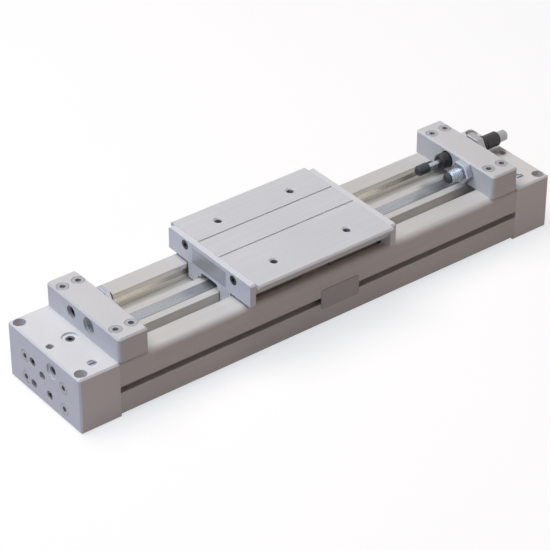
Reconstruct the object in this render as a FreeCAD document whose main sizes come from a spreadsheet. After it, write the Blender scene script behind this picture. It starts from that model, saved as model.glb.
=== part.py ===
import FreeCAD, Part
import math
import os
import re

import Sketcher

# Rodless pneumatic cylinder: a slotted tube with a table that slides on its rails.
# X runs along the stroke, Y across the tube and Z up from the base of the end covers.
# The origin is the middle of the four mounting holes, on the base.

# Driving dimensions in millimetres: name, value, meaning.
DIMENSIONS = (
    ("stroke", 100.0, "travel of the pistons"),
    ("cover_length", 20.0, "end cover along the stroke"),
    ("body_width", 54.0, "tube, covers and brackets across"),
    ("tube_lift", 2.0, "tube underside above the base"),
    ("floor_wall", 2.0, "tube wall under the bore"),
    ("rail_round", 3.0, "rounding of the rails' outer edges"),
    ("edge_round", 0.8, "breaking of machined edges"),
    ("bore", 16.0, "cylinder bore"),
    ("rail_rise", 7.7, "rail tops and cover tops above the bore"),
    ("rail_width", 11.0, "rail across"),
    ("groove_depth", 1.5, "guide groove into the rail"),
    ("groove_rise", 2.6, "guide groove above the channel floor"),
    ("groove_height", 2.8, "guide groove height"),
    ("land_width", 14.0, "raised land along the slot"),
    ("land_rise", 4.8, "land top above the channel floor"),
    ("land_margin", 1.0, "belt clamps and arches inside the land's edges"),
    ("slot_width", 4.0, "slot through the land"),
    ("switch_rise", 2.0, "switch slot above the bore axis"),
    ("switch_mouth", 3.2, "opening of the switch slot"),
    ("switch_lip", 1.2, "wall beside the opening"),
    ("switch_inner", 5.0, "inside height of the switch slot"),
    ("switch_depth", 4.5, "depth of the switch slot"),
    ("belt_width", 6.0, "inner seal belt across"),
    ("belt_thick", 1.1, "inner seal belt thickness"),
    ("belt_rise", 1.7, "middle of the belt inside the yoke, above the bore axis"),
    ("belt_play", 0.1, "room beside and above the belt"),
    ("band_width", 6.4, "dust band across"),
    ("band_thick", 0.3, "dust band thickness"),
    ("band_rise", 0.8, "middle of the raised band above the yoke flange"),
    ("band_end", 0.5, "belt and band end before the covers"),
    ("bend_inset", 2.0, "bends from the table's end and from the yoke neck's end"),
    ("clamp_length", 8.0, "belt clamp along the stroke"),
    ("clamp_clear", 0.3, "room between clamp screws and bracket"),
    ("clamp_screw", 2.0, "belt clamp screw"),
    ("clamp_screw_gap", 1.5, "belt clamp screws from the band's edge"),
    ("clamp_head", 3.2, "belt clamp screw head"),
    ("clamp_head_height", 0.6, "belt clamp screw head height"),
    ("clamp_screw_depth", 2.6, "belt clamp screw into the land"),
    ("gasket_thick", 1.2, "tube gasket thickness"),
    ("gasket_play", 0.5, "tube gasket from the bore's edge"),
    ("gasket_width", 1.2, "tube gasket ring width"),
    ("cushion", 5.0, "cushion boss diameter"),
    ("cushion_reach", 8.0, "cushion boss into the bore"),
    ("cushion_root", 6.0, "cushion boss into the cover"),
    ("cushion_taper", 1.0, "cushion boss lead-in"),
    ("cushion_play", 0.7, "cushion boss inside the piston's hole"),
    ("lip_play", 0.15, "cushion boss inside its seal"),
    ("cushion_seal_length", 1.5, "cushion seal length"),
    ("mount_inset", 3.5, "mounting holes from the cover's end"),
    ("mount_edge", 4.0, "mounting holes from the body's sides"),
    ("mount_hole", 3.4, "mounting hole"),
    ("mount_counterbore", 5.6, "mounting counterbore"),
    ("mount_seat", 3.6, "mounting counterbore depth"),
    ("port", 4.2, "port thread core"),
    ("port_depth", 6.0, "port depth"),
    ("port_face", 7.4, "spot face of the main port"),
    ("port_face_depth", 0.8, "depth of the spot face"),
    ("main_port_side", -6.0, "main port across"),
    ("main_port_drop", 7.2, "main port below the cover's top"),
    ("middle_port_side", 1.6, "middle port across"),
    ("middle_port_rise", 1.7, "middle port above the bore axis"),
    ("low_port_gap", 6.0, "low port from the cover bolts"),
    ("low_port_height", 5.5, "low port above the base"),
    ("high_plug_gap", 5.8, "high plug from the cover bolts"),
    ("high_plug_rise", 4.9, "high plug above the bore axis"),
    ("low_plug_side", -3.6, "low plug across"),
    ("low_plug_height", 6.8, "low plug above the base"),
    ("top_plug_inset", 5.7, "top plug from the tube's end"),
    ("top_plug_side", 1.0, "top plug across"),
    ("vent_inset", 16.0, "vent hole from the tube's end"),
    ("vent_side", 0.7, "vent hole across"),
    ("vent", 3.4, "vent hole"),
    ("plug_length", 4.0, "port plug length"),
    ("plug_socket", 2.2, "port plug socket across flats"),
    ("plug_inset", 0.3, "plugs and needles below the surface"),
    ("needle_inset", 8.6, "cushion needle from the tube's end"),
    ("needle_edge", 7.6, "cushion needle from the body's side"),
    ("needle", 4.0, "cushion needle diameter"),
    ("needle_length", 8.0, "cushion needle length"),
    ("needle_point", 2.4, "length of the needle's cone"),
    ("needle_slot", 0.8, "screwdriver slot of the needle"),
    ("bolt", 3.0, "cover bolt"),
    ("bolt_head", 5.5, "cover bolt head"),
    ("bolt_head_height", 3.0, "cover bolt head height"),
    ("bolt_socket", 2.5, "cover bolt socket across flats"),
    ("bolt_out", 6.5, "cover bolts from the bore's edge"),
    ("bolt_rise", 4.0, "lower cover bolts above the tube's underside"),
    ("bolt_drop", 3.2, "upper cover bolts below the channel floor"),
    ("bolt_grip", 10.0, "cover bolt into the tube"),
    ("screw_play", 0.1, "play of a screw in its hole"),
    ("head_play", 0.3, "play of a screw head in its recess"),
    ("bracket_length", 15.0, "stop bracket along the stroke"),
    ("bracket_crown", 5.4, "stop bracket top above the stop axes"),
    ("bracket_round", 1.6, "rounding of the bracket's upright edges"),
    ("bracket_screw", 3.0, "bracket screw"),
    ("bracket_head", 5.5, "bracket screw head"),
    ("bracket_head_height", 3.0, "bracket screw head height"),
    ("bracket_screw_inset", 3.6, "bracket screws from the channel wall"),
    ("bracket_screw_step", 3.9, "bracket screws from the bracket's middle"),
    ("bracket_grip", 6.0, "bracket screw into the rail"),
    ("stop_rise", 6.3, "stop axes above the rails"),
    ("absorber_side", 4.8, "shock absorber axis across, right bracket"),
    ("stop_side", -8.2, "stop bolt axis across, right bracket"),
    ("absorber", 8.0, "shock absorber thread"),
    ("absorber_step", 0.3, "shock absorber nose below the thread"),
    ("absorber_shell", 1.2, "wall of the shock absorber"),
    ("nut_wall", 2.0, "stop nuts, thread to flat"),
    ("absorber_tail", 5.2, "shock absorber tail behind the thread"),
    ("cap_wall", 0.9, "tail cap wall"),
    ("rod_head_play", 0.3, "play of the rod's piston"),
    ("absorber_inner", 5.0, "nose beyond the bracket"),
    ("absorber_outer", 21.0, "tail beyond the bracket"),
    ("absorber_wall", 3.0, "end walls of the shock absorber"),
    ("absorber_nut_length", 4.0, "shock absorber nut length"),
    ("absorber_cap_start", 7.5, "tail cap beyond the bracket"),
    ("absorber_cap_length", 8.0, "tail cap length"),
    ("absorber_rod", 2.8, "shock absorber rod"),
    ("absorber_stroke", 6.0, "travel of the rod"),
    ("rod_room", 1.0, "gap left behind the tip at full travel"),
    ("rod_head_length", 3.0, "length of the rod's piston"),
    ("rod_play", 0.1, "play of the rod in its hole"),
    ("tip", 5.0, "rod tip diameter"),
    ("tip_length", 6.0, "rod tip length"),
    ("tip_socket", 3.0, "rod inside the tip"),
    ("spring_length", 14.0, "spring behind the rod's piston"),
    ("spring_wire", 0.6, "square spring wire"),
    ("spring_pitch", 3.4, "spring pitch"),
    ("stop_bolt", 6.0, "right stop bolt"),
    ("stop_reach", 12.0, "right stop bolt and tip beyond the bracket"),
    ("stop_tip_length", 2.0, "right stop tip length"),
    ("stop_tail", 1.5, "stop bolt beyond the bracket's outer face"),
    ("stop_nut_length", 4.0, "right stop nut length"),
    ("left_reach", 5.0, "left stop bolt and bumper beyond the bracket"),
    ("left_sink", 1.5, "left stop bolt below the bracket's outer face"),
    ("left_nut_length", 3.0, "left stop nut length"),
    ("bumper_step", 0.5, "soft tips below the bolt's surface"),
    ("bumper_length", 1.5, "left bumper length"),
    ("socket_depth", 2.0, "sockets of bolts"),
    ("table_rest", -4.5, "table's middle along the stroke"),
    ("table_length", 80.0, "table with its end plates"),
    ("table_overhang", 5.0, "table beyond the body's sides"),
    ("table_gap", 5.3, "table plate above the rails"),
    ("table_thick", 7.0, "table plate thickness"),
    ("table_bevel", 0.8, "bevel round the table top"),
    ("lip_reach", 4.5, "lip along the table's long sides"),
    ("lip_thick", 2.2, "lip thickness"),
    ("line_near", -3.7, "near groove along the table top, across"),
    ("line_far", 11.3, "far groove along the table top, across"),
    ("line_width", 1.0, "width of the table top's grooves"),
    ("line_depth", 0.45, "depth of the table top's grooves"),
    ("hole_pitch", 40.0, "tapped holes, both ways"),
    ("tap", 3.3, "tapped hole core"),
    ("tap_depth", 5.5, "tapped hole depth"),
    ("tap_mouth", 4.6, "countersink of a tapped hole"),
    ("leg_gap", 1.0, "table legs from the land"),
    ("leg_space", 2.8, "table legs from the channel walls"),
    ("tunnel_side", 0.6, "band passage beside the band"),
    ("tunnel_height", 3.0, "band passage above the yoke flange"),
    ("end_plate_thick", 3.0, "table end plate"),
    ("end_plate_margin", 0.2, "end plate below the table top"),
    ("end_plate_inset", 2.5, "end plate inside the table's long sides"),
    ("end_plate_lift", 1.3, "end plate above the rails"),
    ("end_plate_clear", 1.2, "end plate above the channel floor"),
    ("end_plate_gap", 0.8, "end plate from the channel walls"),
    ("arch_rise", 3.4, "roof of the band arch above the land"),
    ("end_screw", 2.5, "end plate screw"),
    ("end_screw_head", 4.4, "end plate screw head"),
    ("end_screw_sink", 2.2, "end plate screw head height"),
    ("end_screw_drop", 3.4, "end plate screws below the table top"),
    ("end_screw_side", 17.4, "end plate screws from the middle"),
    ("end_screw_grip", 8.5, "end plate screw into the table"),
    ("end_socket", 2.0, "end plate screw socket across flats"),
    ("scraper_thick", 1.5, "scraper thickness"),
    ("scraper_gap", 0.25, "scraper from the tube"),
    ("scraper_rise", 1.8, "scraper into the table plate"),
    ("strike_thick", 1.2, "strike plate thickness"),
    ("strike_margin", 4.0, "strike plate beyond the stop axes"),
    ("strike_drop", 4.2, "strike plate below the stop axes"),
    ("bearing_start", 8.0, "slide bearings from the table's middle"),
    ("bearing_inset", 1.5, "slide bearings from the scrapers"),
    ("bearing_margin", 3.8, "slide bearings inside the body's sides"),
    ("bearing_pocket", 1.0, "slide bearing into the table plate"),
    ("glide", 0.05, "running clearance of the bearings"),
    ("yoke_play", 0.3, "yoke inside the bore"),
    ("yoke_margin", 4.0, "yoke beyond the table's end"),
    ("trough_drop", 0.6, "floor that the belt dips over, below the bore axis"),
    ("yoke_neck", 3.6, "yoke neck through the slot"),
    ("neck_inset", 18.0, "neck and flange inside the table's end"),
    ("flange_lift", 0.6, "flange above the land"),
    ("flange_height", 3.6, "flange height"),
    ("flange_play", 0.4, "flange from the table's legs"),
    ("belt_side_room", 0.4, "belt passage beside the belt"),
    ("belt_room", 1.3, "belt passage above and below the belt's middle"),
    ("spigot", 8.0, "yoke spigot"),
    ("spigot_length", 6.0, "yoke spigot length"),
    ("pin", 3.0, "yoke pin"),
    ("pin_inset", 8.0, "yoke pins from the flange's end"),
    ("separator_length", 9.0, "belt separator length"),
    ("separator_width", 5.6, "belt separator across"),
    ("separator_lift", 0.2, "belt separator above the flange underside"),
    ("separator_drop", 0.8, "belt separator below the flange's top"),
    ("separator_edge", 0.5, "thickness of the separator's toe above the flange's underside"),
    ("magnet_length", 3.0, "magnet ring length"),
    ("magnet_play", 0.8, "magnet ring inside the bore"),
    ("piston_play", 0.3, "piston inside the bore"),
    ("piston_web", 1.0, "piston wall between cushion hole and yoke"),
    ("end_room", 0.5, "room left at the end of the stroke"),
    ("ring_start", 3.5, "wear ring from the piston's inner end"),
    ("ring_length", 4.0, "wear ring length"),
    ("ring_thick", 1.2, "wear ring thickness"),
    ("ring_play", 0.06, "wear ring inside the bore"),
    ("seal_start", 9.0, "piston seal from the piston's inner end"),
    ("seal_length", 2.0, "piston seal length"),
    ("seal_thick", 1.8, "piston seal thickness"),
)

# Sizes that follow from the driving ones: name and formula.
FOLLOWING = {
    "bore_height": "tube_lift + floor_wall + bore / 2",
    "channel_floor": "bore_height + bore / 2",
    "land_height": "channel_floor + land_rise",
    "body_height": "channel_floor + rail_rise",
    "groove_low": "channel_floor + groove_rise",
    "groove_high": "groove_low + groove_height",
    "channel_width": "body_width - 2 * rail_width",
    "switch_height": "bore_height + switch_rise",
    "piston_length": "cushion_bore_depth + spigot_length - magnet_length + piston_web",
    "piston_span": "2 * (yoke_half + magnet_length + piston_length + end_room)",
    "belt_roof": "channel_floor + belt_thick + 2 * belt_play",
    "belt_low": "bore_height + belt_rise",
    "bend_outer": "table_length / 2 - bend_inset",
    "bend_inner": "yoke_neck_half - bend_inset",
    "clamp_width": "land_width - 2 * land_margin",
    "clamp_height": "body_height - land_height - clamp_head_height - clamp_clear",
    "clamp_screw_side": "band_width / 2 + clamp_screw_gap",
    "gasket_bore": "bore + 2 * gasket_play",
    "gasket_rim": "gasket_bore + 2 * gasket_width",
    "cushion_bore": "cushion + 2 * cushion_play",
    "cushion_bore_depth": "cushion_reach + end_room",
    "cushion_lip": "cushion + 2 * lip_play",
    "mount_side": "body_width / 2 - mount_edge",
    "main_port_height": "body_height - main_port_drop",
    "middle_port_height": "bore_height + middle_port_rise",
    "low_port_side": "bolt_side - low_port_gap",
    "high_plug_side": "bolt_side - high_plug_gap",
    "high_plug_height": "bore_height + high_plug_rise",
    "needle_side": "needle_edge - body_width / 2",
    "bolt_side": "bore / 2 + bolt_out",
    "bolt_low": "tube_lift + bolt_rise",
    "bolt_high": "channel_floor - bolt_drop",
    "bracket_screw_side": "channel_width / 2 + bracket_screw_inset",
    "stop_height": "body_height + stop_rise",
    "bracket_top": "stop_height + bracket_crown",
    "absorber_nose": "absorber - 2 * absorber_step",
    "absorber_chamber": "absorber - 2 * absorber_shell",
    "absorber_nut_flats": "absorber + 2 * nut_wall",
    "absorber_cap": "absorber_tail + 2 * cap_wall",
    "rod_head": "absorber_chamber - 2 * rod_head_play",
    "spring_coil": "absorber_chamber - 2 * spring_wire",
    "stop_tip": "stop_bolt - 2 * bumper_step",
    "stop_nut_flats": "stop_bolt + 2 * nut_wall",
    "stop_socket": "stop_bolt / 2",
    "table_width": "body_width + 2 * table_overhang",
    "table_side": "table_width / 2 - lip_reach",
    "table_low": "body_height + table_gap",
    "table_top": "table_low + table_thick",
    "leg_inner": "land_width / 2 + leg_gap",
    "leg_outer": "channel_width / 2 - leg_space",
    "leg_foot": "groove_low",
    "tunnel_width": "band_width + 2 * tunnel_side",
    "tunnel_roof": "yoke_flange_high + tunnel_height",
    "end_plate_low": "body_height + end_plate_lift",
    "end_plate_foot": "channel_floor + end_plate_clear",
    "arch_width": "land_width - 2 * land_margin",
    "arch_roof": "land_height + arch_rise",
    "end_screw_height": "table_top - end_screw_drop",
    "scraper_top": "table_low + scraper_rise",
    "strike_side": "strike_margin - stop_side",
    "strike_low": "stop_height - strike_drop",
    "strike_high": "stop_height + strike_margin",
    "bearing_reach": "body_width / 2 - bearing_margin",
    "bearing_length": "table_length / 2 - end_plate_thick - scraper_thick - bearing_start - bearing_inset",
    "yoke_half": "table_length / 2 + yoke_margin",
    "yoke_neck_half": "table_length / 2 - neck_inset",
    "yoke_trough": "bore_height - trough_drop",
    "yoke_flange_low": "land_height + flange_lift",
    "yoke_flange_high": "yoke_flange_low + flange_height",
    "yoke_flange_side": "leg_inner - flange_play",
    "belt_tunnel": "belt_width + 2 * belt_side_room",
    "belt_tunnel_low": "belt_low - belt_room",
    "belt_tunnel_high": "belt_low + belt_room",
    "pin_place": "yoke_neck_half - pin_inset",
    "pin_height": "yoke_flange_low + flange_height / 2",
    "separator_high": "yoke_flange_high - separator_drop",
    "separator_toe": "yoke_flange_low + separator_edge",
    "magnet_rim": "bore - 2 * magnet_play",
}

ALIASES = {alias for alias, _, _ in DIMENSIONS}
WORD = re.compile(r"[a-z][a-z_]*")
SIDES = (("left", -1), ("right", 1))
TUBE_END = "(stroke + piston_span) / 2"
OUTER_END = f"({TUBE_END} + cover_length)"

doc = FreeCAD.newDocument("rodless_cylinder")
sheet = doc.addObject("Spreadsheet::Sheet", "sizes")
for row, (alias, value, meaning) in enumerate(DIMENSIONS, start=1):
    sheet.set(f"A{row}", meaning)
    sheet.set(f"B{row}", str(value))
    sheet.setAlias(f"B{row}", alias)
doc.recompute()

pieces = []


def spelt_out(text):
    """Formula with the sizes that follow replaced until only names of the sheet are left."""

    def spell(found):
        name = found[0]
        return f"({spelt_out(FOLLOWING[name])})" if name in FOLLOWING else name

    return WORD.sub(spell, text)


def size(text):
    """Value of a formula of named sizes."""
    numbers = WORD.sub(lambda found: f"({getattr(sheet, found[0])})", spelt_out(text))
    return FreeCAD.Units.Quantity(numbers).Value


def bind(item, prop, text):
    """Drive a property by a formula of named sizes."""
    cells = WORD.sub(lambda found: f"sizes.{found[0]}" if found[0] in ALIASES else found[0], spelt_out(text))
    item.setExpression(prop, cells)


def signed(sign, text):
    """Formula mirrored to the left end where the sign is negative."""
    return f"{sign} * ({text})"


def new_body(name, along="0", across="0", up="0"):
    """Empty body of one node, with its place bound to the sheet."""
    body = doc.addObject("PartDesign::Body", name)
    body.Label = name
    for axis, text in zip("xyz", (along, across, up)):
        bind(body, f"Placement.Base.{axis}", text)
    pieces.append(body)
    return body


def new_sketch(body, plane, offset="0"):
    """Sketch on one of the body's own origin planes, moved along the plane's normal."""
    sketch = body.newObject("Sketcher::SketchObject", f"{body.Name}_sketch")
    support = next(item for item in body.Origin.OriginFeatures if item.Role == plane)
    sketch.AttachmentSupport = [(support, "")]
    sketch.MapMode = "FlatFace"
    bind(sketch, "AttachmentOffset.Base.z", offset)
    return sketch


def place_point(sketch, edge, point, across, up):
    """Dimension one point of the sketch from the sketch's origin."""
    rough = sketch.getPoint(edge, point)
    for kind, text, axis, start in (("DistanceX", across, -2, rough.x), ("DistanceY", up, -1, rough.y)):
        if text == "0":
            sketch.addConstraint(Sketcher.Constraint("PointOnObject", edge, point, axis))
        else:
            index = sketch.addConstraint(Sketcher.Constraint(kind, -1, 1, edge, point, start))
            bind(sketch, f"Constraints[{index}]", text)


def draw_outline(sketch, corners):
    """Closed outline of straight edges: a rough polygon whose corners are then dimensioned."""
    count = len(corners)
    first = sketch.GeometryCount
    rough = []
    for index in range(count):
        angle = 2.0 * math.pi * (index + 0.3) / count
        rough.append(FreeCAD.Vector(10.0 * math.cos(angle), 10.0 * math.sin(angle), 0.0))
    lines = [Part.LineSegment(rough[index], rough[(index + 1) % count]) for index in range(count)]
    sketch.addGeometry(lines, False)
    links = []
    for index in range(count):
        links.append(Sketcher.Constraint("Coincident", first + index, 2, first + (index + 1) % count, 1))
    sketch.addConstraint(links)
    for index, (across, up) in enumerate(corners):
        place_point(sketch, first + index, 1, across, up)


def draw_circles(sketch, centres, diameter):
    """Circles of one diameter at the given centres."""
    for across, up in centres:
        rough = FreeCAD.Vector(3.0, 4.0, 0.0)
        index = sketch.addGeometry(Part.Circle(rough, FreeCAD.Vector(0, 0, 1), 1.0), False)
        place_point(sketch, index, 3, across, up)
        width = sketch.addConstraint(Sketcher.Constraint("Diameter", index, 2.0))
        bind(sketch, f"Constraints[{width}]", diameter)


def draw_hexagons(sketch, centres, flats):
    """Regular hexagons with two flats level, given by their width across flats."""
    for across, up in centres:
        corners = []
        for reach, rise in ((2, 0), (1, 1), (-1, 1), (-2, 0), (-1, -1), (1, -1)):
            corners.append(
                (f"{across} + {reach} * {flats} / (2 * sqrt(3))", f"{up} + {rise} * {flats} / 2")
            )
        draw_outline(sketch, corners)


def mirrored(half):
    """Whole outline from its half on the +Y side, listed from the bottom up."""
    return half + [(f"-({across})", up) for across, up in reversed(half)]


def rectangle(low_across, low_up, high_across, high_up):
    """Corners of a rectangle."""
    return [
        (low_across, low_up),
        (high_across, low_up),
        (high_across, high_up),
        (low_across, high_up),
    ]


def extrude(body, kind, sketch, length, reverse=False, both=False):
    """Pad or pocket of a sketch."""
    feature = body.newObject(f"PartDesign::{kind}", f"{body.Name}_{kind.lower()}")
    feature.Profile = sketch
    feature.SideType = "Symmetric" if both else "One side"
    feature.Reversed = reverse
    bind(feature, "Length", length)
    body.Tip = feature
    return feature


def pad(body, sketch, length, reverse=False, both=False):
    """Add the sketch's area over a length."""
    return extrude(body, "Pad", sketch, length, reverse, both)


def pocket(body, sketch, depth, reverse=False, both=False):
    """Cut the sketch's area to a depth, against the sketch's normal unless reversed."""
    return extrude(body, "Pocket", sketch, depth, reverse, both)


def revolve(body, corners, axis="H_Axis", kind="Revolution"):
    """Turned form: an outline of (along, radius) corners spun about the body's X or Z axis."""
    sketch = new_sketch(body, "XZ_Plane")
    draw_outline(sketch, corners)
    feature = body.newObject(f"PartDesign::{kind}", f"{body.Name}_{kind.lower()}")
    feature.Profile = sketch
    feature.ReferenceAxis = (sketch, [axis])
    feature.Angle = 360.0
    body.Tip = feature
    return feature


def dress_edges(body, kind, width, chosen):
    """Fillet or chamfer the edges of the body that the test picks."""
    doc.recompute()
    base = body.Tip
    names = [f"Edge{index}" for index, edge in enumerate(base.Shape.Edges, start=1) if chosen(edge)]
    feature = body.newObject(f"PartDesign::{kind}", f"{body.Name}_{kind.lower()}")
    feature.Base = (base, names)
    bind(feature, "Radius" if kind == "Fillet" else "Size", width)
    body.Tip = feature
    return feature


def runs_along(edge, axis):
    """True for a straight edge parallel to the axis."""
    start, end = edge.firstVertex().Point, edge.lastVertex().Point
    step = end.sub(start)
    return step.Length > 1e-6 and abs(abs(step[axis]) - edge.Length) < 1e-6


def lies_at(edge, axis, place):
    """True where the whole edge lies at one coordinate."""
    box = edge.BoundBox
    low, high = ((box.XMin, box.XMax), (box.YMin, box.YMax), (box.ZMin, box.ZMax))[axis]
    return abs(low - place) < 1e-4 and abs(high - place) < 1e-4


def cut_circles(body, plane, offset, centres, diameter, depth, reverse=False):
    """Round holes of one size into a face."""
    sketch = new_sketch(body, plane, offset)
    draw_circles(sketch, centres, diameter)
    return pocket(body, sketch, depth, reverse)


def corner_places(along, across):
    """Four places at plus and minus the two distances."""
    return [(f"{i} * ({along})", f"{j} * ({across})") for i in (-1, 1) for j in (-1, 1)]


# The tube: one extrusion, cut by the slot with the belt's seat, by the bore and by screw holes.

BOLT_PLACES = [(f"{side} * bolt_side", height) for side in (-1, 1) for height in ("bolt_low", "bolt_high")]
BRACKET_MIDDLE = f"({TUBE_END} - bracket_length / 2)"


def bracket_screw_places(sign):
    """Screws of one stop bracket, two over each rail."""
    places = []
    for step in (-1, 1):
        for side in (-1, 1):
            along = signed(sign, f"{BRACKET_MIDDLE} + {step} * bracket_screw_step")
            places.append((along, f"{side} * bracket_screw_side"))
    return places


def clamp_screw_places(sign):
    """Screws of one belt clamp, one each side of the band."""
    along = signed(sign, f"{TUBE_END} - clamp_length / 2")
    return [(along, "clamp_screw_side"), (along, "-clamp_screw_side")]


def make_tube():
    """Extruded tube with rails, land, guide grooves and switch slots."""
    body = new_body("cylinder_tube")
    wall = "body_width / 2"
    channel = "channel_width / 2"
    half = [
        (wall, "tube_lift"),
        (wall, "switch_height - switch_mouth / 2"),
        (f"{wall} - switch_lip", "switch_height - switch_mouth / 2"),
        (f"{wall} - switch_lip", "switch_height - switch_inner / 2"),
        (f"{wall} - switch_depth", "switch_height - switch_inner / 2"),
        (f"{wall} - switch_depth", "switch_height + switch_inner / 2"),
        (f"{wall} - switch_lip", "switch_height + switch_inner / 2"),
        (f"{wall} - switch_lip", "switch_height + switch_mouth / 2"),
        (wall, "switch_height + switch_mouth / 2"),
        (wall, "body_height"),
        (channel, "body_height"),
        (channel, "groove_high"),
        (f"{channel} + groove_depth", "groove_high"),
        (f"{channel} + groove_depth", "groove_low"),
        (channel, "groove_low"),
        (channel, "channel_floor"),
        ("land_width / 2", "channel_floor"),
        ("land_width / 2", "land_height"),
    ]
    section = new_sketch(body, "YZ_Plane")
    draw_outline(section, mirrored(half))
    pad(body, section, f"2 * {TUBE_END}", both=True)

    slot = new_sketch(body, "YZ_Plane")
    slot_half = [
        ("belt_width / 2 + belt_play", "bore_height"),
        ("belt_width / 2 + belt_play", "belt_roof"),
        ("slot_width / 2", "belt_roof"),
        ("slot_width / 2", "land_height + slot_width"),
    ]
    draw_outline(slot, mirrored(slot_half))
    pocket(body, slot, f"2 * {TUBE_END}", both=True)

    bore = new_sketch(body, "YZ_Plane")
    draw_circles(bore, [("0", "bore_height")], "bore")
    pocket(body, bore, f"2 * {TUBE_END}", both=True)

    for _, sign in SIDES:
        end = signed(sign, TUBE_END)
        cut_circles(body, "YZ_Plane", end, BOLT_PLACES, "bolt + screw_play", "bolt_grip", sign < 0)
        places, hole = bracket_screw_places(sign), "bracket_screw + screw_play"
        cut_circles(body, "XY_Plane", "body_height", places, hole, "bracket_grip")
        places, hole = clamp_screw_places(sign), "clamp_screw + screw_play"
        cut_circles(body, "XY_Plane", "land_height", places, hole, "clamp_screw_depth")
    top, edge_place = size("body_height"), size("body_width") / 2.0

    def outer_rail_edge(edge):
        side = lies_at(edge, 1, edge_place) or lies_at(edge, 1, -edge_place)
        return runs_along(edge, 0) and side and lies_at(edge, 2, top)

    dress_edges(body, "Fillet", "rail_round", outer_rail_edge)


# The end covers, with what is screwed or pressed into them.

END_PORTS = (
    ("main_port_side", "main_port_height"),
    ("middle_port_side", "middle_port_height"),
    ("low_port_side", "low_port_height"),
    ("high_plug_side", "high_plug_height"),
    ("low_plug_side", "low_plug_height"),
)
END_PLUGS = END_PORTS[3:]


def make_cover(side, sign):
    """End cover: a block with mounting holes, ports and recesses for what it holds."""
    body = new_body(f"head_cover_{side}")
    inner = signed(sign, TUBE_END)
    outer = signed(sign, OUTER_END)
    section = new_sketch(body, "YZ_Plane", inner)
    draw_outline(section, mirrored([("body_width / 2", "0"), ("body_width / 2", "body_height")]))
    pad(body, section, "cover_length", reverse=sign < 0)

    length = size("cover_length")
    end_place = sign * size(OUTER_END)

    def outer_edge(edge):
        return lies_at(edge, 0, end_place) or (runs_along(edge, 0) and edge.Length > length - 1e-3)

    dress_edges(body, "Chamfer", "edge_round", outer_edge)

    from_end = sign > 0
    mounts = [(signed(sign, f"{OUTER_END} - mount_inset"), f"{j} * mount_side") for j in (-1, 1)]
    cut_circles(body, "XY_Plane", "body_height", mounts, "mount_hole", "body_height")
    cut_circles(body, "XY_Plane", "body_height", mounts, "mount_counterbore", "mount_seat")
    cut_circles(body, "YZ_Plane", outer, END_PORTS, "port", "port_depth", not from_end)
    cut_circles(body, "YZ_Plane", outer, END_PORTS[:1], "port_face", "port_face_depth", not from_end)
    hole, head = "bolt + screw_play", "bolt_head + head_play"
    cut_circles(body, "YZ_Plane", outer, BOLT_PLACES, hole, "cover_length", not from_end)
    cut_circles(body, "YZ_Plane", outer, BOLT_PLACES, head, "bolt_head_height", not from_end)

    ring = new_sketch(body, "YZ_Plane", inner)
    draw_circles(ring, [("0", "bore_height")], "gasket_rim")
    draw_circles(ring, [("0", "bore_height")], "gasket_bore")
    pocket(body, ring, "gasket_thick", reverse=from_end)
    cut_circles(body, "YZ_Plane", inner, [("0", "bore_height")], "cushion", "cushion_root", from_end)

    top_plug = [(signed(sign, f"{TUBE_END} + top_plug_inset"), "top_plug_side")]
    cut_circles(body, "XY_Plane", "body_height", top_plug, "port", "port_depth")
    cut_circles(body, "XY_Plane", "body_height", top_plug, "port_face", "port_face_depth")
    vent = [(signed(sign, f"{TUBE_END} + vent_inset"), "vent_side")]
    cut_circles(body, "XY_Plane", "body_height", vent, "vent", "port_depth")
    needle = [(signed(sign, f"{TUBE_END} + needle_inset"), "needle_side")]
    cut_circles(body, "XY_Plane", "body_height", needle, "needle", "needle_length + plug_inset")


def make_gasket(side, sign):
    """Ring that seals the tube's end against the cover."""
    body = new_body(f"tube_gasket_{side}", signed(sign, TUBE_END), "0", "bore_height")
    ring = new_sketch(body, "YZ_Plane")
    draw_circles(ring, [("0", "0")], "gasket_rim")
    draw_circles(ring, [("0", "0")], "gasket_bore")
    pad(body, ring, "gasket_thick", reverse=sign < 0)


def make_cushion_boss(side, sign):
    """Boss that closes the piston's cushion hole near the end of the stroke."""
    body = new_body(f"cushion_boss_{side}", signed(sign, TUBE_END), "0", "bore_height")
    reach = signed(-sign, "cushion_reach")
    shoulder = signed(-sign, "cushion_reach - cushion_taper")
    root = signed(sign, "cushion_root")
    revolve(
        body,
        [
            (root, "0"),
            (root, "cushion / 2"),
            (shoulder, "cushion / 2"),
            (reach, "cushion / 2 - cushion_taper / 2"),
            (reach, "0"),
        ],
    )


def make_needle(side, sign):
    """Cushion needle: a pointed screw with a screwdriver slot."""
    place = signed(sign, f"{TUBE_END} + needle_inset")
    body = new_body(f"cushion_needle_{side}", place, "needle_side", "body_height - plug_inset")
    revolve(
        body,
        [
            ("0", "0"),
            ("needle / 2", "0"),
            ("needle / 2", "needle_point - needle_length"),
            ("needle_slot / 2", "-needle_length"),
            ("0", "-needle_length"),
        ],
        axis="V_Axis",
    )
    slot = new_sketch(body, "XY_Plane")
    draw_outline(slot, rectangle("-needle", "-needle_slot / 2", "needle", "needle_slot / 2"))
    pocket(body, slot, "needle_slot")


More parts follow.
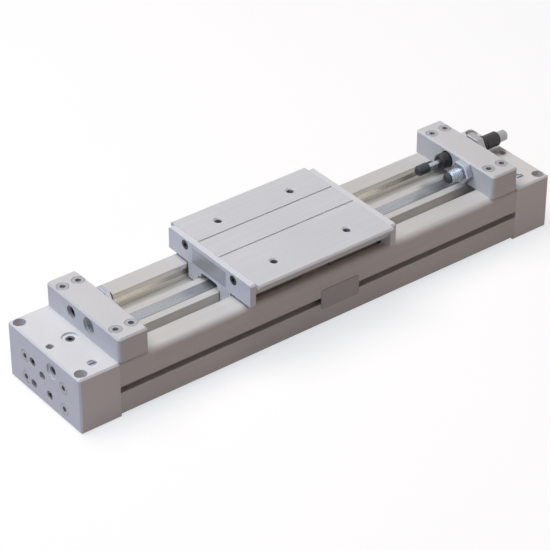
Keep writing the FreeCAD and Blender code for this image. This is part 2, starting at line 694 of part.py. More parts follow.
def make_port_plugs(side, sign):
    """Socket plugs of the closed ports, two in the end face and one in the top."""
    body = new_body(f"port_plugs_{side}")
    outer = signed(sign, f"{OUTER_END} - plug_inset")
    ends = new_sketch(body, "YZ_Plane", outer)
    draw_circles(ends, END_PLUGS, "port")
    pad(body, ends, "plug_length", reverse=sign > 0)
    top_plug = [(signed(sign, f"{TUBE_END} + top_plug_inset"), "top_plug_side")]
    top_level = "body_height - port_face_depth"
    top = new_sketch(body, "XY_Plane", top_level)
    draw_circles(top, top_plug, "port")
    pad(body, top, "plug_length", reverse=True)
    end_sockets = new_sketch(body, "YZ_Plane", outer)
    draw_hexagons(end_sockets, END_PLUGS, "plug_socket")
    pocket(body, end_sockets, "socket_depth", reverse=sign < 0)
    top_socket = new_sketch(body, "XY_Plane", top_level)
    draw_hexagons(top_socket, top_plug, "plug_socket")
    pocket(body, top_socket, "socket_depth")


def make_screws(name, plane, seat, places, sizes, outward):
    """Group of socket head screws; the head stands on the seat and points outward.

    sizes holds shank diameter, shank length, head diameter, head height and socket flats,
    which are None for a plain head."""
    shank_width, shank_length, head_width, head_height, flats = sizes
    body = new_body(name)
    shank = new_sketch(body, plane, seat)
    draw_circles(shank, places, shank_width)
    pad(body, shank, shank_length, reverse=outward > 0)
    head = new_sketch(body, plane, seat)
    draw_circles(head, places, head_width)
    pad(body, head, head_height, reverse=outward < 0)
    if flats is None:
        return
    socket = new_sketch(body, plane, f"{seat} + {outward} * ({head_height})")
    draw_hexagons(socket, places, flats)
    pocket(body, socket, f"{head_height} / 2", reverse=outward < 0)


def make_cover_bolts(side, sign):
    """Four screws through the cover into the tube."""
    seat = signed(sign, f"{OUTER_END} - bolt_head_height")
    length = "cover_length - bolt_head_height + bolt_grip - head_play"
    sizes = ("bolt", length, "bolt_head", "bolt_head_height", "bolt_socket")
    make_screws(f"cover_bolts_{side}", "YZ_Plane", seat, BOLT_PLACES, sizes, sign)


# The inner belt and the outer band: strips that part inside the table and go round the yoke.


def strip_path(outside, inside):
    """Path along X at one height, moving to another height inside the table by two S-bends."""
    end = size(f"{TUBE_END} - band_end")
    middle = size("table_rest")
    outer, inner = size("bend_outer"), size("bend_inner")
    run, rise = outer - inner, inside - outside
    radius = (run**2 + rise**2) / (4.0 * abs(rise))
    turn = math.atan2(abs(rise), run)
    mid_run = radius * math.sin(turn)
    mid_rise = math.copysign(radius * (1.0 - math.cos(turn)), rise)

    def point(along, up):
        return FreeCAD.Vector(along, 0.0, up)

    def bend(start, way):
        far = point(start.x + way * run, inside)
        half = (start + far) * 0.5
        first = Part.Arc(start, point(start.x + way * mid_run, outside + mid_rise), half)
        second = Part.Arc(half, point(far.x - way * mid_run, inside - mid_rise), far)
        return [first.toShape(), second.toShape()]

    left, right = point(middle - outer, outside), point(middle + outer, outside)
    edges = [Part.LineSegment(point(-end, outside), left).toShape()]
    edges += bend(left, 1)
    edges.append(Part.LineSegment(point(middle - inner, inside), point(middle + inner, inside)).toShape())
    edges += [edge for edge in reversed(bend(right, -1))]
    edges.append(Part.LineSegment(right, point(end, outside)).toShape())
    return Part.Wire(Part.__sortEdges__(edges))


def make_strip(name, width, thick, outside, inside):
    """Flat strip swept along its path."""
    path = strip_path(outside, inside)
    start = size(f"{TUBE_END} - band_end")
    corners = []
    for across, up in ((-1, -1), (1, -1), (1, 1), (-1, 1), (-1, -1)):
        corners.append(FreeCAD.Vector(-start, across * width / 2.0, outside + up * thick / 2.0))
    section = Part.Face(Part.makePolygon(corners))
    strip = doc.addObject("Part::Feature", name)
    strip.Label = name
    strip.Shape = path.makePipe(section)
    strip.Placement = FreeCAD.Placement()
    pieces.append(strip)
    expected = width * thick * path.Length
    if abs(strip.Shape.Volume - expected) > 0.01 * expected:
        raise RuntimeError(f"{name}: volume {strip.Shape.Volume:.1f}, expected {expected:.1f}")


def make_belts():
    """Seal belt under the slot's lips and dust band on the land."""
    belt_level = size("belt_roof - belt_play - belt_thick / 2")
    make_strip("seal_belt", size("belt_width"), size("belt_thick"), belt_level, size("belt_low"))
    band_level = size("land_height + band_thick / 2")
    raised = size("yoke_flange_high + band_rise")
    make_strip("dust_band", size("band_width"), size("band_thick"), band_level, raised)


def make_clamp(side, sign):
    """Clamp that holds the ends of belt and band on the land."""
    body = new_body(f"belt_clamp_{side}")
    section = new_sketch(body, "YZ_Plane", signed(sign, TUBE_END))
    half = [
        ("band_width / 2 + belt_play", "land_height + band_thick"),
        ("band_width / 2 + belt_play", "land_height"),
        ("clamp_width / 2", "land_height"),
        ("clamp_width / 2", "land_height + clamp_height"),
    ]
    draw_outline(section, mirrored(half))
    pad(body, section, "clamp_length", reverse=sign > 0)
    top = "land_height + clamp_height"
    cut_circles(body, "XY_Plane", top, clamp_screw_places(sign), "clamp_screw + screw_play", "clamp_height")


def make_clamp_screws():
    """Screws of both belt clamps."""
    places = clamp_screw_places(-1) + clamp_screw_places(1)
    length = "clamp_height + clamp_screw_depth"
    sizes = ("clamp_screw", length, "clamp_head", "clamp_head_height", None)
    make_screws("belt_clamp_screws", "XY_Plane", "land_height + clamp_height", places, sizes, 1)


# The stop brackets at both ends, with the shock absorber, the stop bolts and their nuts.

BRACKET_INNER = f"({TUBE_END} - bracket_length)"


def make_bracket(side, sign):
    """Block across the rails, bored for two stops; the left one is the right one turned round."""
    body = new_body(f"stop_bracket_{side}")
    outer = signed(sign, TUBE_END)
    section = new_sketch(body, "YZ_Plane", outer)
    draw_outline(section, mirrored([("body_width / 2", "body_height"), ("body_width / 2", "bracket_top")]))
    pad(body, section, "bracket_length", reverse=sign > 0)
    dress_edges(body, "Fillet", "bracket_round", lambda edge: runs_along(edge, 2))
    top = size("bracket_top")
    dress_edges(body, "Chamfer", "edge_round", lambda edge: lies_at(edge, 2, top))
    from_end = sign < 0
    absorber = [(signed(sign, "absorber_side"), "stop_height")]
    cut_circles(body, "YZ_Plane", outer, absorber, "absorber + screw_play", "bracket_length", from_end)
    stop = [(signed(sign, "stop_side"), "stop_height")]
    cut_circles(body, "YZ_Plane", outer, stop, "stop_bolt + screw_play", "bracket_length", from_end)
    places = bracket_screw_places(sign)
    depth = "bracket_top - body_height"
    cut_circles(body, "XY_Plane", "bracket_top", places, "bracket_screw + screw_play", depth)
    cut_circles(body, "XY_Plane", "bracket_top", places, "bracket_head + head_play", "bracket_head_height")


def make_bracket_screws():
    """Screws of both stop brackets."""
    places = bracket_screw_places(-1) + bracket_screw_places(1)
    length = "bracket_top - bracket_head_height - body_height + bracket_grip - head_play"
    sizes = ("bracket_screw", length, "bracket_head", "bracket_head_height", "bolt_socket")
    seat = "bracket_top - bracket_head_height"
    make_screws("bracket_screws", "XY_Plane", seat, places, sizes, 1)


def stop_body(name, across):
    """Body on a stop axis, at the inner face of the right bracket."""
    return new_body(name, BRACKET_INNER, across, "stop_height")


def make_nut(name, along, across, flats, hole, length):
    """Hexagon nut on an axis along X, starting at the given place."""
    body = new_body(name, along, across, "stop_height")
    section = new_sketch(body, "YZ_Plane")
    draw_hexagons(section, [("0", "0")], flats)
    draw_circles(section, [("0", "0")], hole)
    pad(body, section, length)
    ends = (0.0, size(length))
    dress_edges(
        body,
        "Chamfer",
        "edge_round / 2",
        lambda edge: any(lies_at(edge, 0, end) for end in ends) and edge.Curve.TypeId == "Part::GeomLine",
    )


def make_absorber():
    """Shock absorber: threaded body, rod with tip, spring, nut and tail cap."""
    nose = "-absorber_inner"
    tail = "bracket_length + absorber_outer"
    cap_start = "bracket_length + absorber_cap_start"
    chamber_start = f"{nose} + absorber_wall"
    rod_start = f"{nose} - absorber_stroke - rod_room"
    head_end = f"{chamber_start} + rod_head_length"
    spring_end = f"{head_end} + spring_length"
    body = stop_body("absorber_body", "absorber_side")
    revolve(
        body,
        [
            (nose, "absorber_rod / 2 + rod_play"),
            (nose, "absorber_nose / 2 - edge_round"),
            (f"{nose} + edge_round", "absorber_nose / 2"),
            ("0", "absorber_nose / 2"),
            ("0", "absorber / 2"),
            (cap_start, "absorber / 2"),
            (cap_start, "absorber_tail / 2"),
            (f"{tail} - edge_round", "absorber_tail / 2"),
            (tail, "absorber_tail / 2 - edge_round"),
            (tail, "0"),
            (spring_end, "0"),
            (spring_end, "absorber_chamber / 2"),
            (chamber_start, "absorber_chamber / 2"),
            (chamber_start, "absorber_rod / 2 + rod_play"),
        ],
    )
    rod = stop_body("absorber_rod", "absorber_side")
    revolve(
        rod,
        [
            (f"{rod_start} - tip_socket", "0"),
            (f"{rod_start} - tip_socket", "absorber_rod / 2"),
            (chamber_start, "absorber_rod / 2"),
            (chamber_start, "rod_head / 2"),
            (head_end, "rod_head / 2"),
            (head_end, "0"),
        ],
    )
    tip = stop_body("absorber_tip", "absorber_side")
    tip_end = f"{rod_start} - tip_length"
    revolve(
        tip,
        [
            (tip_end, "0"),
            (tip_end, "tip / 2 - edge_round"),
            (f"{tip_end} + edge_round", "tip / 2"),
            (rod_start, "tip / 2"),
            (rod_start, "absorber_rod / 2"),
            (f"{rod_start} - tip_socket", "absorber_rod / 2"),
            (f"{rod_start} - tip_socket", "0"),
        ],
    )
    hole = "absorber + screw_play"
    make_nut("absorber_nut", TUBE_END, "absorber_side", "absorber_nut_flats", hole, "absorber_nut_length")
    cap = stop_body("absorber_cap", "absorber_side")
    cap_stop = f"{cap_start} + absorber_cap_length"
    revolve(
        cap,
        [
            (cap_start, "absorber_tail / 2"),
            (cap_start, "absorber_cap / 2 - edge_round / 2"),
            (f"{cap_start} + edge_round / 2", "absorber_cap / 2"),
            (f"{cap_stop} - edge_round / 2", "absorber_cap / 2"),
            (cap_stop, "absorber_cap / 2 - edge_round / 2"),
            (cap_stop, "absorber_tail / 2"),
        ],
    )
    make_spring()


def make_spring():
    """Coil spring behind the rod's piston, between it and the end of the chamber."""
    wire = size("spring_wire")
    middle = size("spring_coil") / 2.0
    start = size(f"{BRACKET_INNER} + absorber_wall + rod_head_length - absorber_inner")
    room = wire / 2.0 + size("rod_play")
    height = size("spring_length") - 2.0 * room
    helix = Part.makeHelix(size("spring_pitch"), height, middle)
    corners = []
    for out, up in ((-1, -1), (1, -1), (1, 1), (-1, 1), (-1, -1)):
        corners.append(FreeCAD.Vector(middle + out * wire / 2.0, 0.0, up * wire / 2.0))
    section = Part.makePolygon(corners)
    spring = doc.addObject("Part::Feature", "absorber_spring")
    spring.Label = "absorber_spring"
    spring.Shape = Part.Wire(helix.Edges).makePipeShell([section], True, True)
    place = FreeCAD.Vector(start + room, size("absorber_side"), size("stop_height"))
    spring.Placement = FreeCAD.Placement(place, FreeCAD.Rotation(FreeCAD.Vector(0, 1, 0), 90.0))
    pieces.append(spring)


def make_right_stop():
    """Bright stop bolt that ends the absorber's travel, with its nut and soft tip."""
    bolt = stop_body("stop_bolt_right", "stop_side")
    inner = "stop_tip_length - stop_reach"
    outer = "bracket_length + stop_tail"
    revolve(
        bolt,
        [
            (inner, "0"),
            (inner, "stop_bolt / 2 - edge_round / 2"),
            (f"{inner} + edge_round / 2", "stop_bolt / 2"),
            (f"{outer} - edge_round / 2", "stop_bolt / 2"),
            (outer, "stop_bolt / 2 - edge_round / 2"),
            (outer, "0"),
        ],
    )
    socket = new_sketch(bolt, "YZ_Plane", outer)
    draw_hexagons(socket, [("0", "0")], "stop_socket")
    pocket(bolt, socket, "socket_depth")
    tip = stop_body("stop_tip_right", "stop_side")
    revolve(
        tip,
        [
            ("-stop_reach", "0"),
            ("-stop_reach", "stop_tip / 2 - edge_round"),
            ("edge_round - stop_reach", "stop_tip / 2"),
            (inner, "stop_tip / 2"),
            (inner, "0"),
        ],
    )
    place = f"{BRACKET_INNER} - stop_nut_length"
    hole = "stop_bolt + screw_play"
    make_nut("stop_nut_right", place, "stop_side", "stop_nut_flats", hole, "stop_nut_length")


def make_left_stop():
    """Stop bolt of the left bracket, sunk below its outer face, with nut and bumper."""
    inner_face = signed(-1, BRACKET_INNER)
    across = signed(-1, "stop_side")
    bolt = new_body("stop_bolt_left", inner_face, across, "stop_height")
    outer = "left_sink - bracket_length"
    inner = "left_reach - bumper_length"
    revolve(
        bolt,
        [
            (outer, "0"),
            (outer, "stop_bolt / 2 - edge_round / 2"),
            (f"{outer} + edge_round / 2", "stop_bolt / 2"),
            (inner, "stop_bolt / 2"),
            (inner, "0"),
        ],
    )
    socket = new_sketch(bolt, "YZ_Plane", outer)
    draw_hexagons(socket, [("0", "0")], "stop_socket")
    pocket(bolt, socket, "socket_depth", reverse=True)
    bumper = new_body("stop_bumper_left", inner_face, across, "stop_height")
    revolve(
        bumper,
        [
            (inner, "0"),
            (inner, "stop_tip / 2"),
            ("left_reach - edge_round / 2", "stop_tip / 2"),
            ("left_reach", "stop_tip / 2 - edge_round"),
            ("left_reach", "0"),
        ],
    )
    hole = "stop_bolt + screw_play"
    make_nut("stop_nut_left", inner_face, across, "stop_nut_flats", hole, "left_nut_length")


# The table with its end plates, scrapers, strike plates and slide bearings.

CORE_END = "(table_length / 2 - end_plate_thick - scraper_thick)"
PLATE_START = "(table_length / 2 - end_plate_thick)"
BEARING_STOP = "(bearing_start + bearing_length)"


def table_body(name):
    """Body whose origin is the table's middle on the base plane."""
    return new_body(name, "table_rest")


def end_screw_places():
    """Two end plate screws."""
    return [("end_screw_side", "end_screw_height"), ("-end_screw_side", "end_screw_height")]


def make_table():
    """Slide table: a lipped plate with two legs beside the land and a passage for the band."""
    body = table_body("slide_table")
    half = [
        ("tunnel_width / 2", "tunnel_roof"),
        ("tunnel_width / 2", "yoke_flange_high"),
        ("leg_inner", "yoke_flange_high"),
        ("leg_inner", "leg_foot"),
        ("leg_outer", "leg_foot"),
        ("leg_outer", "table_low"),
        ("table_side", "table_low"),
        ("table_side", "table_top - lip_thick"),
        ("table_width / 2", "table_top - lip_thick"),
        ("table_width / 2", "table_top - table_bevel"),
        ("table_width / 2 - table_bevel", "table_top"),
    ]
    section = new_sketch(body, "YZ_Plane")
    draw_outline(section, mirrored(half))
    pad(body, section, f"2 * {PLATE_START}", both=True)
    for _, sign in SIDES:
        seat = new_sketch(body, "YZ_Plane", signed(sign, PLATE_START))
        draw_outline(seat, rectangle("-bearing_reach", "tube_lift", "bearing_reach", "scraper_top"))
        pocket(body, seat, "scraper_thick", reverse=sign < 0)
    pockets = new_sketch(body, "XY_Plane", "table_low")
    for along in (-1, 1):
        for across in (-1, 1):
            start, stop = signed(along, "bearing_start"), signed(along, BEARING_STOP)
            inner, outer = signed(across, "leg_outer"), signed(across, "bearing_reach")
            draw_outline(pockets, rectangle(start, inner, stop, outer))
    pocket(body, pockets, "bearing_pocket", reverse=True)
    lines = new_sketch(body, "XY_Plane", "table_top")
    for across in ("line_near", "line_far"):
        low, high = f"{across} - line_width / 2", f"{across} + line_width / 2"
        draw_outline(lines, rectangle(f"-{PLATE_START}", low, PLATE_START, high))
    pocket(body, lines, "line_depth")
    holes = corner_places("hole_pitch / 2", "hole_pitch / 2")
    cut_circles(body, "XY_Plane", "table_top", holes, "tap", "tap_depth")
    doc.recompute()
    top = size("table_top")
    width = size("tap") / 2.0

    def hole_mouth(edge):
        round_edge = edge.Curve.TypeId == "Part::GeomCircle"
        return round_edge and lies_at(edge, 2, top) and abs(edge.Curve.Radius - width) < 1e-4

    dress_edges(body, "Chamfer", "(tap_mouth - tap) / 2", hole_mouth)
    pins = new_sketch(body, "XZ_Plane")
    draw_circles(pins, PIN_PLACES, "pin")
    pocket(body, pins, "2 * leg_outer", both=True)
    for _, sign in SIDES:
        end = signed(sign, PLATE_START)
        hole = "end_screw + screw_play"
        cut_circles(body, "YZ_Plane", end, end_screw_places(), hole, "end_screw_grip", sign < 0)


def make_end_plate(side, sign):
    """End plate of the table, reaching into the channel and arched over the band."""
    body = table_body(f"end_plate_{side}")
    inner, outer = signed(sign, PLATE_START), signed(sign, "table_length / 2")
    edge = "table_width / 2 - end_plate_inset"
    foot = "channel_width / 2 - end_plate_gap"
    half = [
        ("arch_width / 2 - table_bevel", "arch_roof"),
        ("arch_width / 2", "arch_roof - table_bevel"),
        ("arch_width / 2", "land_height + end_plate_gap"),
        ("leg_inner", "land_height + end_plate_gap"),
        ("leg_inner", "end_plate_foot"),
        (foot, "end_plate_foot"),
        (foot, "end_plate_low"),
        (edge, "end_plate_low"),
        (edge, "table_top - end_plate_margin - table_bevel"),
        (f"{edge} - table_bevel", "table_top - end_plate_margin"),
    ]
    section = new_sketch(body, "YZ_Plane", inner)
    draw_outline(section, mirrored(half))
    pad(body, section, "end_plate_thick", reverse=sign < 0)
    way = sign < 0
    places = end_screw_places()
    cut_circles(body, "YZ_Plane", outer, places, "end_screw + screw_play", "end_plate_thick", way)
    cut_circles(body, "YZ_Plane", outer, places, "end_screw_head + head_play", "end_screw_sink", way)
    strike = new_sketch(body, "YZ_Plane", outer)
    draw_outline(strike, rectangle("-strike_side", "strike_low", "strike_side", "strike_high"))
    pocket(body, strike, "strike_thick", reverse=way)


def make_strike_plate(side, sign):
    """Hardened plate let into the end plate where the stops meet the table."""
    body = table_body(f"strike_plate_{side}")
    strike = new_sketch(body, "YZ_Plane", signed(sign, "table_length / 2"))
    draw_outline(strike, rectangle("-strike_side", "strike_low", "strike_side", "strike_high"))
    pad(body, strike, "strike_thick", reverse=sign > 0)


def make_scraper(side, sign):
    """Wiper behind the end plate, cut to the channel, the land and the rails."""
    body = table_body(f"scraper_{side}")
    half = [
        ("land_width / 2 + scraper_gap", "land_height + end_plate_gap"),
        ("land_width / 2 + scraper_gap", "channel_floor + scraper_gap"),
        ("channel_width / 2 - scraper_gap", "channel_floor + scraper_gap"),
        ("channel_width / 2 - scraper_gap", "body_height + scraper_gap"),
        ("bearing_reach", "body_height + scraper_gap"),
        ("bearing_reach", "scraper_top"),
    ]
    section = new_sketch(body, "YZ_Plane", signed(sign, CORE_END))
    draw_outline(section, mirrored(half))
    pad(body, section, "scraper_thick", reverse=sign < 0)


def make_end_screws():
    """Screws of both end plates, heads outwards."""
    body = table_body("end_plate_screws")
    for _, sign in SIDES:
        seat = signed(sign, "table_length / 2 - end_screw_sink")
        shank = new_sketch(body, "YZ_Plane", seat)
        draw_circles(shank, end_screw_places(), "end_screw")
        length = "end_plate_thick + end_screw_grip - end_screw_sink - head_play"
        pad(body, shank, length, reverse=sign > 0)
        head = new_sketch(body, "YZ_Plane", seat)
        draw_circles(head, end_screw_places(), "end_screw_head")
        pad(body, head, "end_screw_sink", reverse=sign < 0)
        socket = new_sketch(body, "YZ_Plane", signed(sign, "table_length / 2"))
        draw_hexagons(socket, end_screw_places(), "end_socket")
        pocket(body, socket, "end_screw_sink / 2", reverse=sign < 0)


def make_bearing(name, along, across):
    """Resin slide bearing: runs on the rail's top, its inner wall and in the guide groove."""
    body = table_body(name)
    wall = "channel_width / 2 - glide"
    half = [
        ("leg_outer", "groove_low + glide"),
        (f"{wall} + groove_depth - glide", "groove_low + glide"),
        (f"{wall} + groove_depth - glide", "groove_high - glide"),
        (wall, "groove_high - glide"),
        (wall, "body_height + glide"),
        ("bearing_reach", "body_height + glide"),
        ("bearing_reach", "table_low + bearing_pocket"),
        ("leg_outer", "table_low + bearing_pocket"),
    ]
    section = new_sketch(body, "YZ_Plane", signed(along, "bearing_start"))
    draw_outline(section, [(signed(across, side), up) for side, up in half])
    pad(body, section, "bearing_length", reverse=along < 0)


# The yoke with pistons, seals, magnets and belt separators.

PIN_PLACES = [("pin_place", "pin_height"), ("-pin_place", "pin_height")]


def make_yoke():
    """Piston yoke: a round bar cut away for the belt, with a neck through the slot and a flange."""
    body = table_body("piston_yoke")
    bar = new_sketch(body, "YZ_Plane")
    draw_circles(bar, [("0", "bore_height")], "bore - 2 * yoke_play")
    pad(body, bar, "2 * yoke_half", both=True)
    trough = new_sketch(body, "XZ_Plane")
    for sign in (-1, 1):
        start, stop = signed(sign, "yoke_neck_half"), signed(sign, "yoke_half")
        draw_outline(trough, rectangle(start, "yoke_trough", stop, "bore_height + bore"))
    pocket(body, trough, "2 * bore", both=True)
    tunnel = new_sketch(body, "YZ_Plane")
    side = "belt_tunnel / 2"
    draw_outline(tunnel, rectangle(f"-{side}", "belt_tunnel_low", side, "belt_tunnel_high"))
    pocket(body, tunnel, "2 * yoke_half", both=True)
    half = [
        ("yoke_neck / 2", "belt_tunnel_high"),
        ("yoke_neck / 2", "yoke_flange_low"),
        ("yoke_flange_side", "yoke_flange_low"),
        ("yoke_flange_side", "yoke_flange_high"),
    ]
    neck = new_sketch(body, "YZ_Plane")
    draw_outline(neck, mirrored(half))
    pad(body, neck, "2 * yoke_neck_half", both=True)
    for _, sign in SIDES:
        spigot = new_sketch(body, "YZ_Plane", signed(sign, "yoke_half"))
        draw_circles(spigot, [("0", "bore_height")], "spigot")
        pad(body, spigot, "spigot_length", reverse=sign < 0)
    pins = new_sketch(body, "XZ_Plane")
    draw_circles(pins, PIN_PLACES, "pin")
    pocket(body, pins, "2 * leg_outer", both=True)


def make_pins():
    """Cross pins that join the yoke's flange to the table's legs."""
    body = table_body("yoke_pins")
    section = new_sketch(body, "XZ_Plane")
    draw_circles(section, PIN_PLACES, "pin")
    pad(body, section, "2 * leg_outer", both=True)


def make_separator(side, sign):
    """Wedge at the end of the flange that parts the band from the slot."""
    body = table_body(f"belt_separator_{side}")
    section = new_sketch(body, "XZ_Plane")
    toe = signed(sign, "yoke_neck_half + separator_length")
    heel = signed(sign, "yoke_neck_half")
    low = "yoke_flange_low + separator_lift"
    draw_outline(section, [(heel, low), (toe, low), (toe, "separator_toe"), (heel, "separator_high")])
    pad(body, section, "separator_width", both=True)


def make_piston(side, sign):
    """Piston with wear ring, seal, cushion seal and the magnet ring behind it."""

    def on_axis(name, along):
        return new_body(name, f"table_rest + {signed(sign, along)}", "0", "bore_height")

    def ring(name, start, length, inside, outside):
        body = on_axis(name, start)
        section = new_sketch(body, "YZ_Plane")
        draw_circles(section, [("0", "0")], outside)
        draw_circles(section, [("0", "0")], inside)
        pad(body, section, length, reverse=sign < 0)

    heel = "yoke_half + magnet_length"
    rim = "bore / 2 - piston_play"
    ring_rim = "bore / 2 - ring_play"
    ring_floor = f"{ring_rim} - ring_thick"
    seal_floor = f"{ring_rim} - seal_thick"
    profile = [
        ("0", "spigot / 2"),
        ("0", rim),
        ("ring_start", rim),
        ("ring_start", ring_floor),
        ("ring_start + ring_length", ring_floor),
        ("ring_start + ring_length", rim),
        ("seal_start", rim),
        ("seal_start", seal_floor),
        ("seal_start + seal_length", seal_floor),
        ("seal_start + seal_length", rim),
        ("piston_length", rim),
        ("piston_length", "cushion_bore / 2"),
        ("piston_length - cushion_bore_depth", "cushion_bore / 2"),
        ("piston_length - cushion_bore_depth", "0"),
        ("spigot_length - magnet_length", "0"),
        ("spigot_length - magnet_length", "spigot / 2"),
    ]
    piston = on_axis(f"piston_{side}", heel)
    revolve(piston, [(along if along == "0" else signed(sign, along), radius) for along, radius in profile])
    ring(f"magnet_{side}", "yoke_half", "magnet_length", "spigot", "magnet_rim")
    outside = f"2 * ({ring_rim})"
    ring(f"wear_ring_{side}", f"{heel} + ring_start", "ring_length", f"2 * ({ring_floor})", outside)
    ring(f"piston_seal_{side}", f"{heel} + seal_start", "seal_length", f"2 * ({seal_floor})", outside)
    mouth = f"{heel} + piston_length - cushion_seal_length"
    ring(f"cushion_seal_{side}", mouth, "cushion_seal_length", "cushion_lip", "cushion_bore")


def build():
    """Make every piece of the cylinder."""
    make_tube()
    make_belts()
    for side, sign in SIDES:
        make_cover(side, sign)
        make_gasket(side, sign)
        make_cushion_boss(side, sign)
        make_needle(side, sign)
        make_port_plugs(side, sign)
        make_cover_bolts(side, sign)
        make_clamp(side, sign)
        make_bracket(side, sign)
    make_clamp_screws()
    make_bracket_screws()
    make_absorber()
    make_right_stop()
    make_left_stop()
    make_table()
    for side, sign in SIDES:
        make_end_plate(side, sign)
        make_scraper(side, sign)
        make_strike_plate(side, sign)
        make_separator(side, sign)
        make_piston(side, sign)
    make_end_screws()
    for row, across in (("far", 1), ("near", -1)):
        for side, along in SIDES:
            make_bearing(f"slide_bearing_{row}_{side}", along, across)
    make_yoke()
    make_pins()


def check():
    """Stop on a failed feature, a cut that removes nothing or a shape that isn't sound."""
    for item in doc.Objects:
        if any(word in item.State for word in ("Invalid", "Error")):
            raise RuntimeError(f"{item.Label}: {item.State}")
        if item.TypeId in ("PartDesign::Pocket", "PartDesign::Groove"):
            if item.Shape.Volume > item.BaseFeature.Shape.Volume - 1e-6:
                raise RuntimeError(f"{item.Label} cuts nothing")
    for piece in pieces:
        if piece.Shape.isNull() or not piece.Shape.isValid() or not piece.Shape.Solids:
            raise RuntimeError(f"{piece.Label}: shape not sound")


build()
doc.recompute()
check()
os.makedirs("parts", exist_ok=True)
for piece in pieces:
    piece.Shape.exportStep(f"parts/{piece.Label}.step")
    print(piece.Label, len(piece.Shape.Solids), round(piece.Shape.Volume, 1))
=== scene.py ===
"""Looks of a rodless pneumatic cylinder: finishes of its CAD pieces, strips, threads, light and camera."""

import logging
import math
from dataclasses import dataclass, field
from enum import Enum

import bmesh
import bpy
from mathutils import Matrix, Vector


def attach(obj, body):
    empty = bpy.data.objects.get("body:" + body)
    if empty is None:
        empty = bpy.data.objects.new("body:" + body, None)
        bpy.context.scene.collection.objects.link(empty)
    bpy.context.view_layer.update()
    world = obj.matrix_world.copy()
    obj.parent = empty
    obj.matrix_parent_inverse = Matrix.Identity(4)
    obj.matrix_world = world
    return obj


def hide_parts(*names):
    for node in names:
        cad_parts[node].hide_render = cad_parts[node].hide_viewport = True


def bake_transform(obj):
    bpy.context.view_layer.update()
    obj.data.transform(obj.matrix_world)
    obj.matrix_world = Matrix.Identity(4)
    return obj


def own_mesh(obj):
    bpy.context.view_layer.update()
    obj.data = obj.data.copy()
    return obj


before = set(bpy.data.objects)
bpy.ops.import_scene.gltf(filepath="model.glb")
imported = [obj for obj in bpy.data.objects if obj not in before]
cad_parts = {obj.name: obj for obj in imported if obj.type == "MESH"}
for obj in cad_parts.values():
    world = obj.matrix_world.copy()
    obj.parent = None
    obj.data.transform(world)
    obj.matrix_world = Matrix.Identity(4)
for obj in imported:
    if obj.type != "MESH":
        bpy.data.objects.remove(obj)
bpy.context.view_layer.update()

LOG = logging.getLogger("rodless_cylinder")
MM = 0.001
FULL_TURN = 2.0 * math.pi
SHARP_CORNER = math.radians(35.0)
SAME_PLACE = 1e-7
HEXAGON = 6
UNIT = (0.0, 1.0)
WHITE = (1.0, 1.0, 1.0)
STROKE_WAY = (1.0, 0.0, 0.0)
NO_MOVE = (0.0, 0.0, 0.0)
STOP_HEIGHT = 34.0 * MM
ABSORBER_ACROSS = 4.8 * MM
BOLT_ACROSS = 8.2 * MM
TABLE_MIDDLE = -4.5 * MM

Span = tuple[float, float]
Colour = tuple[float, float, float]
Point = tuple[float, float, float]
Material = bpy.types.Material
Socket = bpy.types.NodeSocket
Tree = bpy.types.NodeTree
Edges = list[bmesh.types.BMEdge]


class Carrier(Enum):
    """Bodies that a new piece rides on."""

    BASE = "base"
    CARRIAGE = "carriage"


class Grain(Enum):
    """Direction of drawn, rolled or turned lines, as a stretch of Object coordinates."""

    ALONG = (0.03, 1.0, 1.0)
    ACROSS = (1.0, 0.03, 1.0)
    TURNED = (1.0, 0.12, 0.12)
    EVEN = (1.0, 1.0, 1.0)


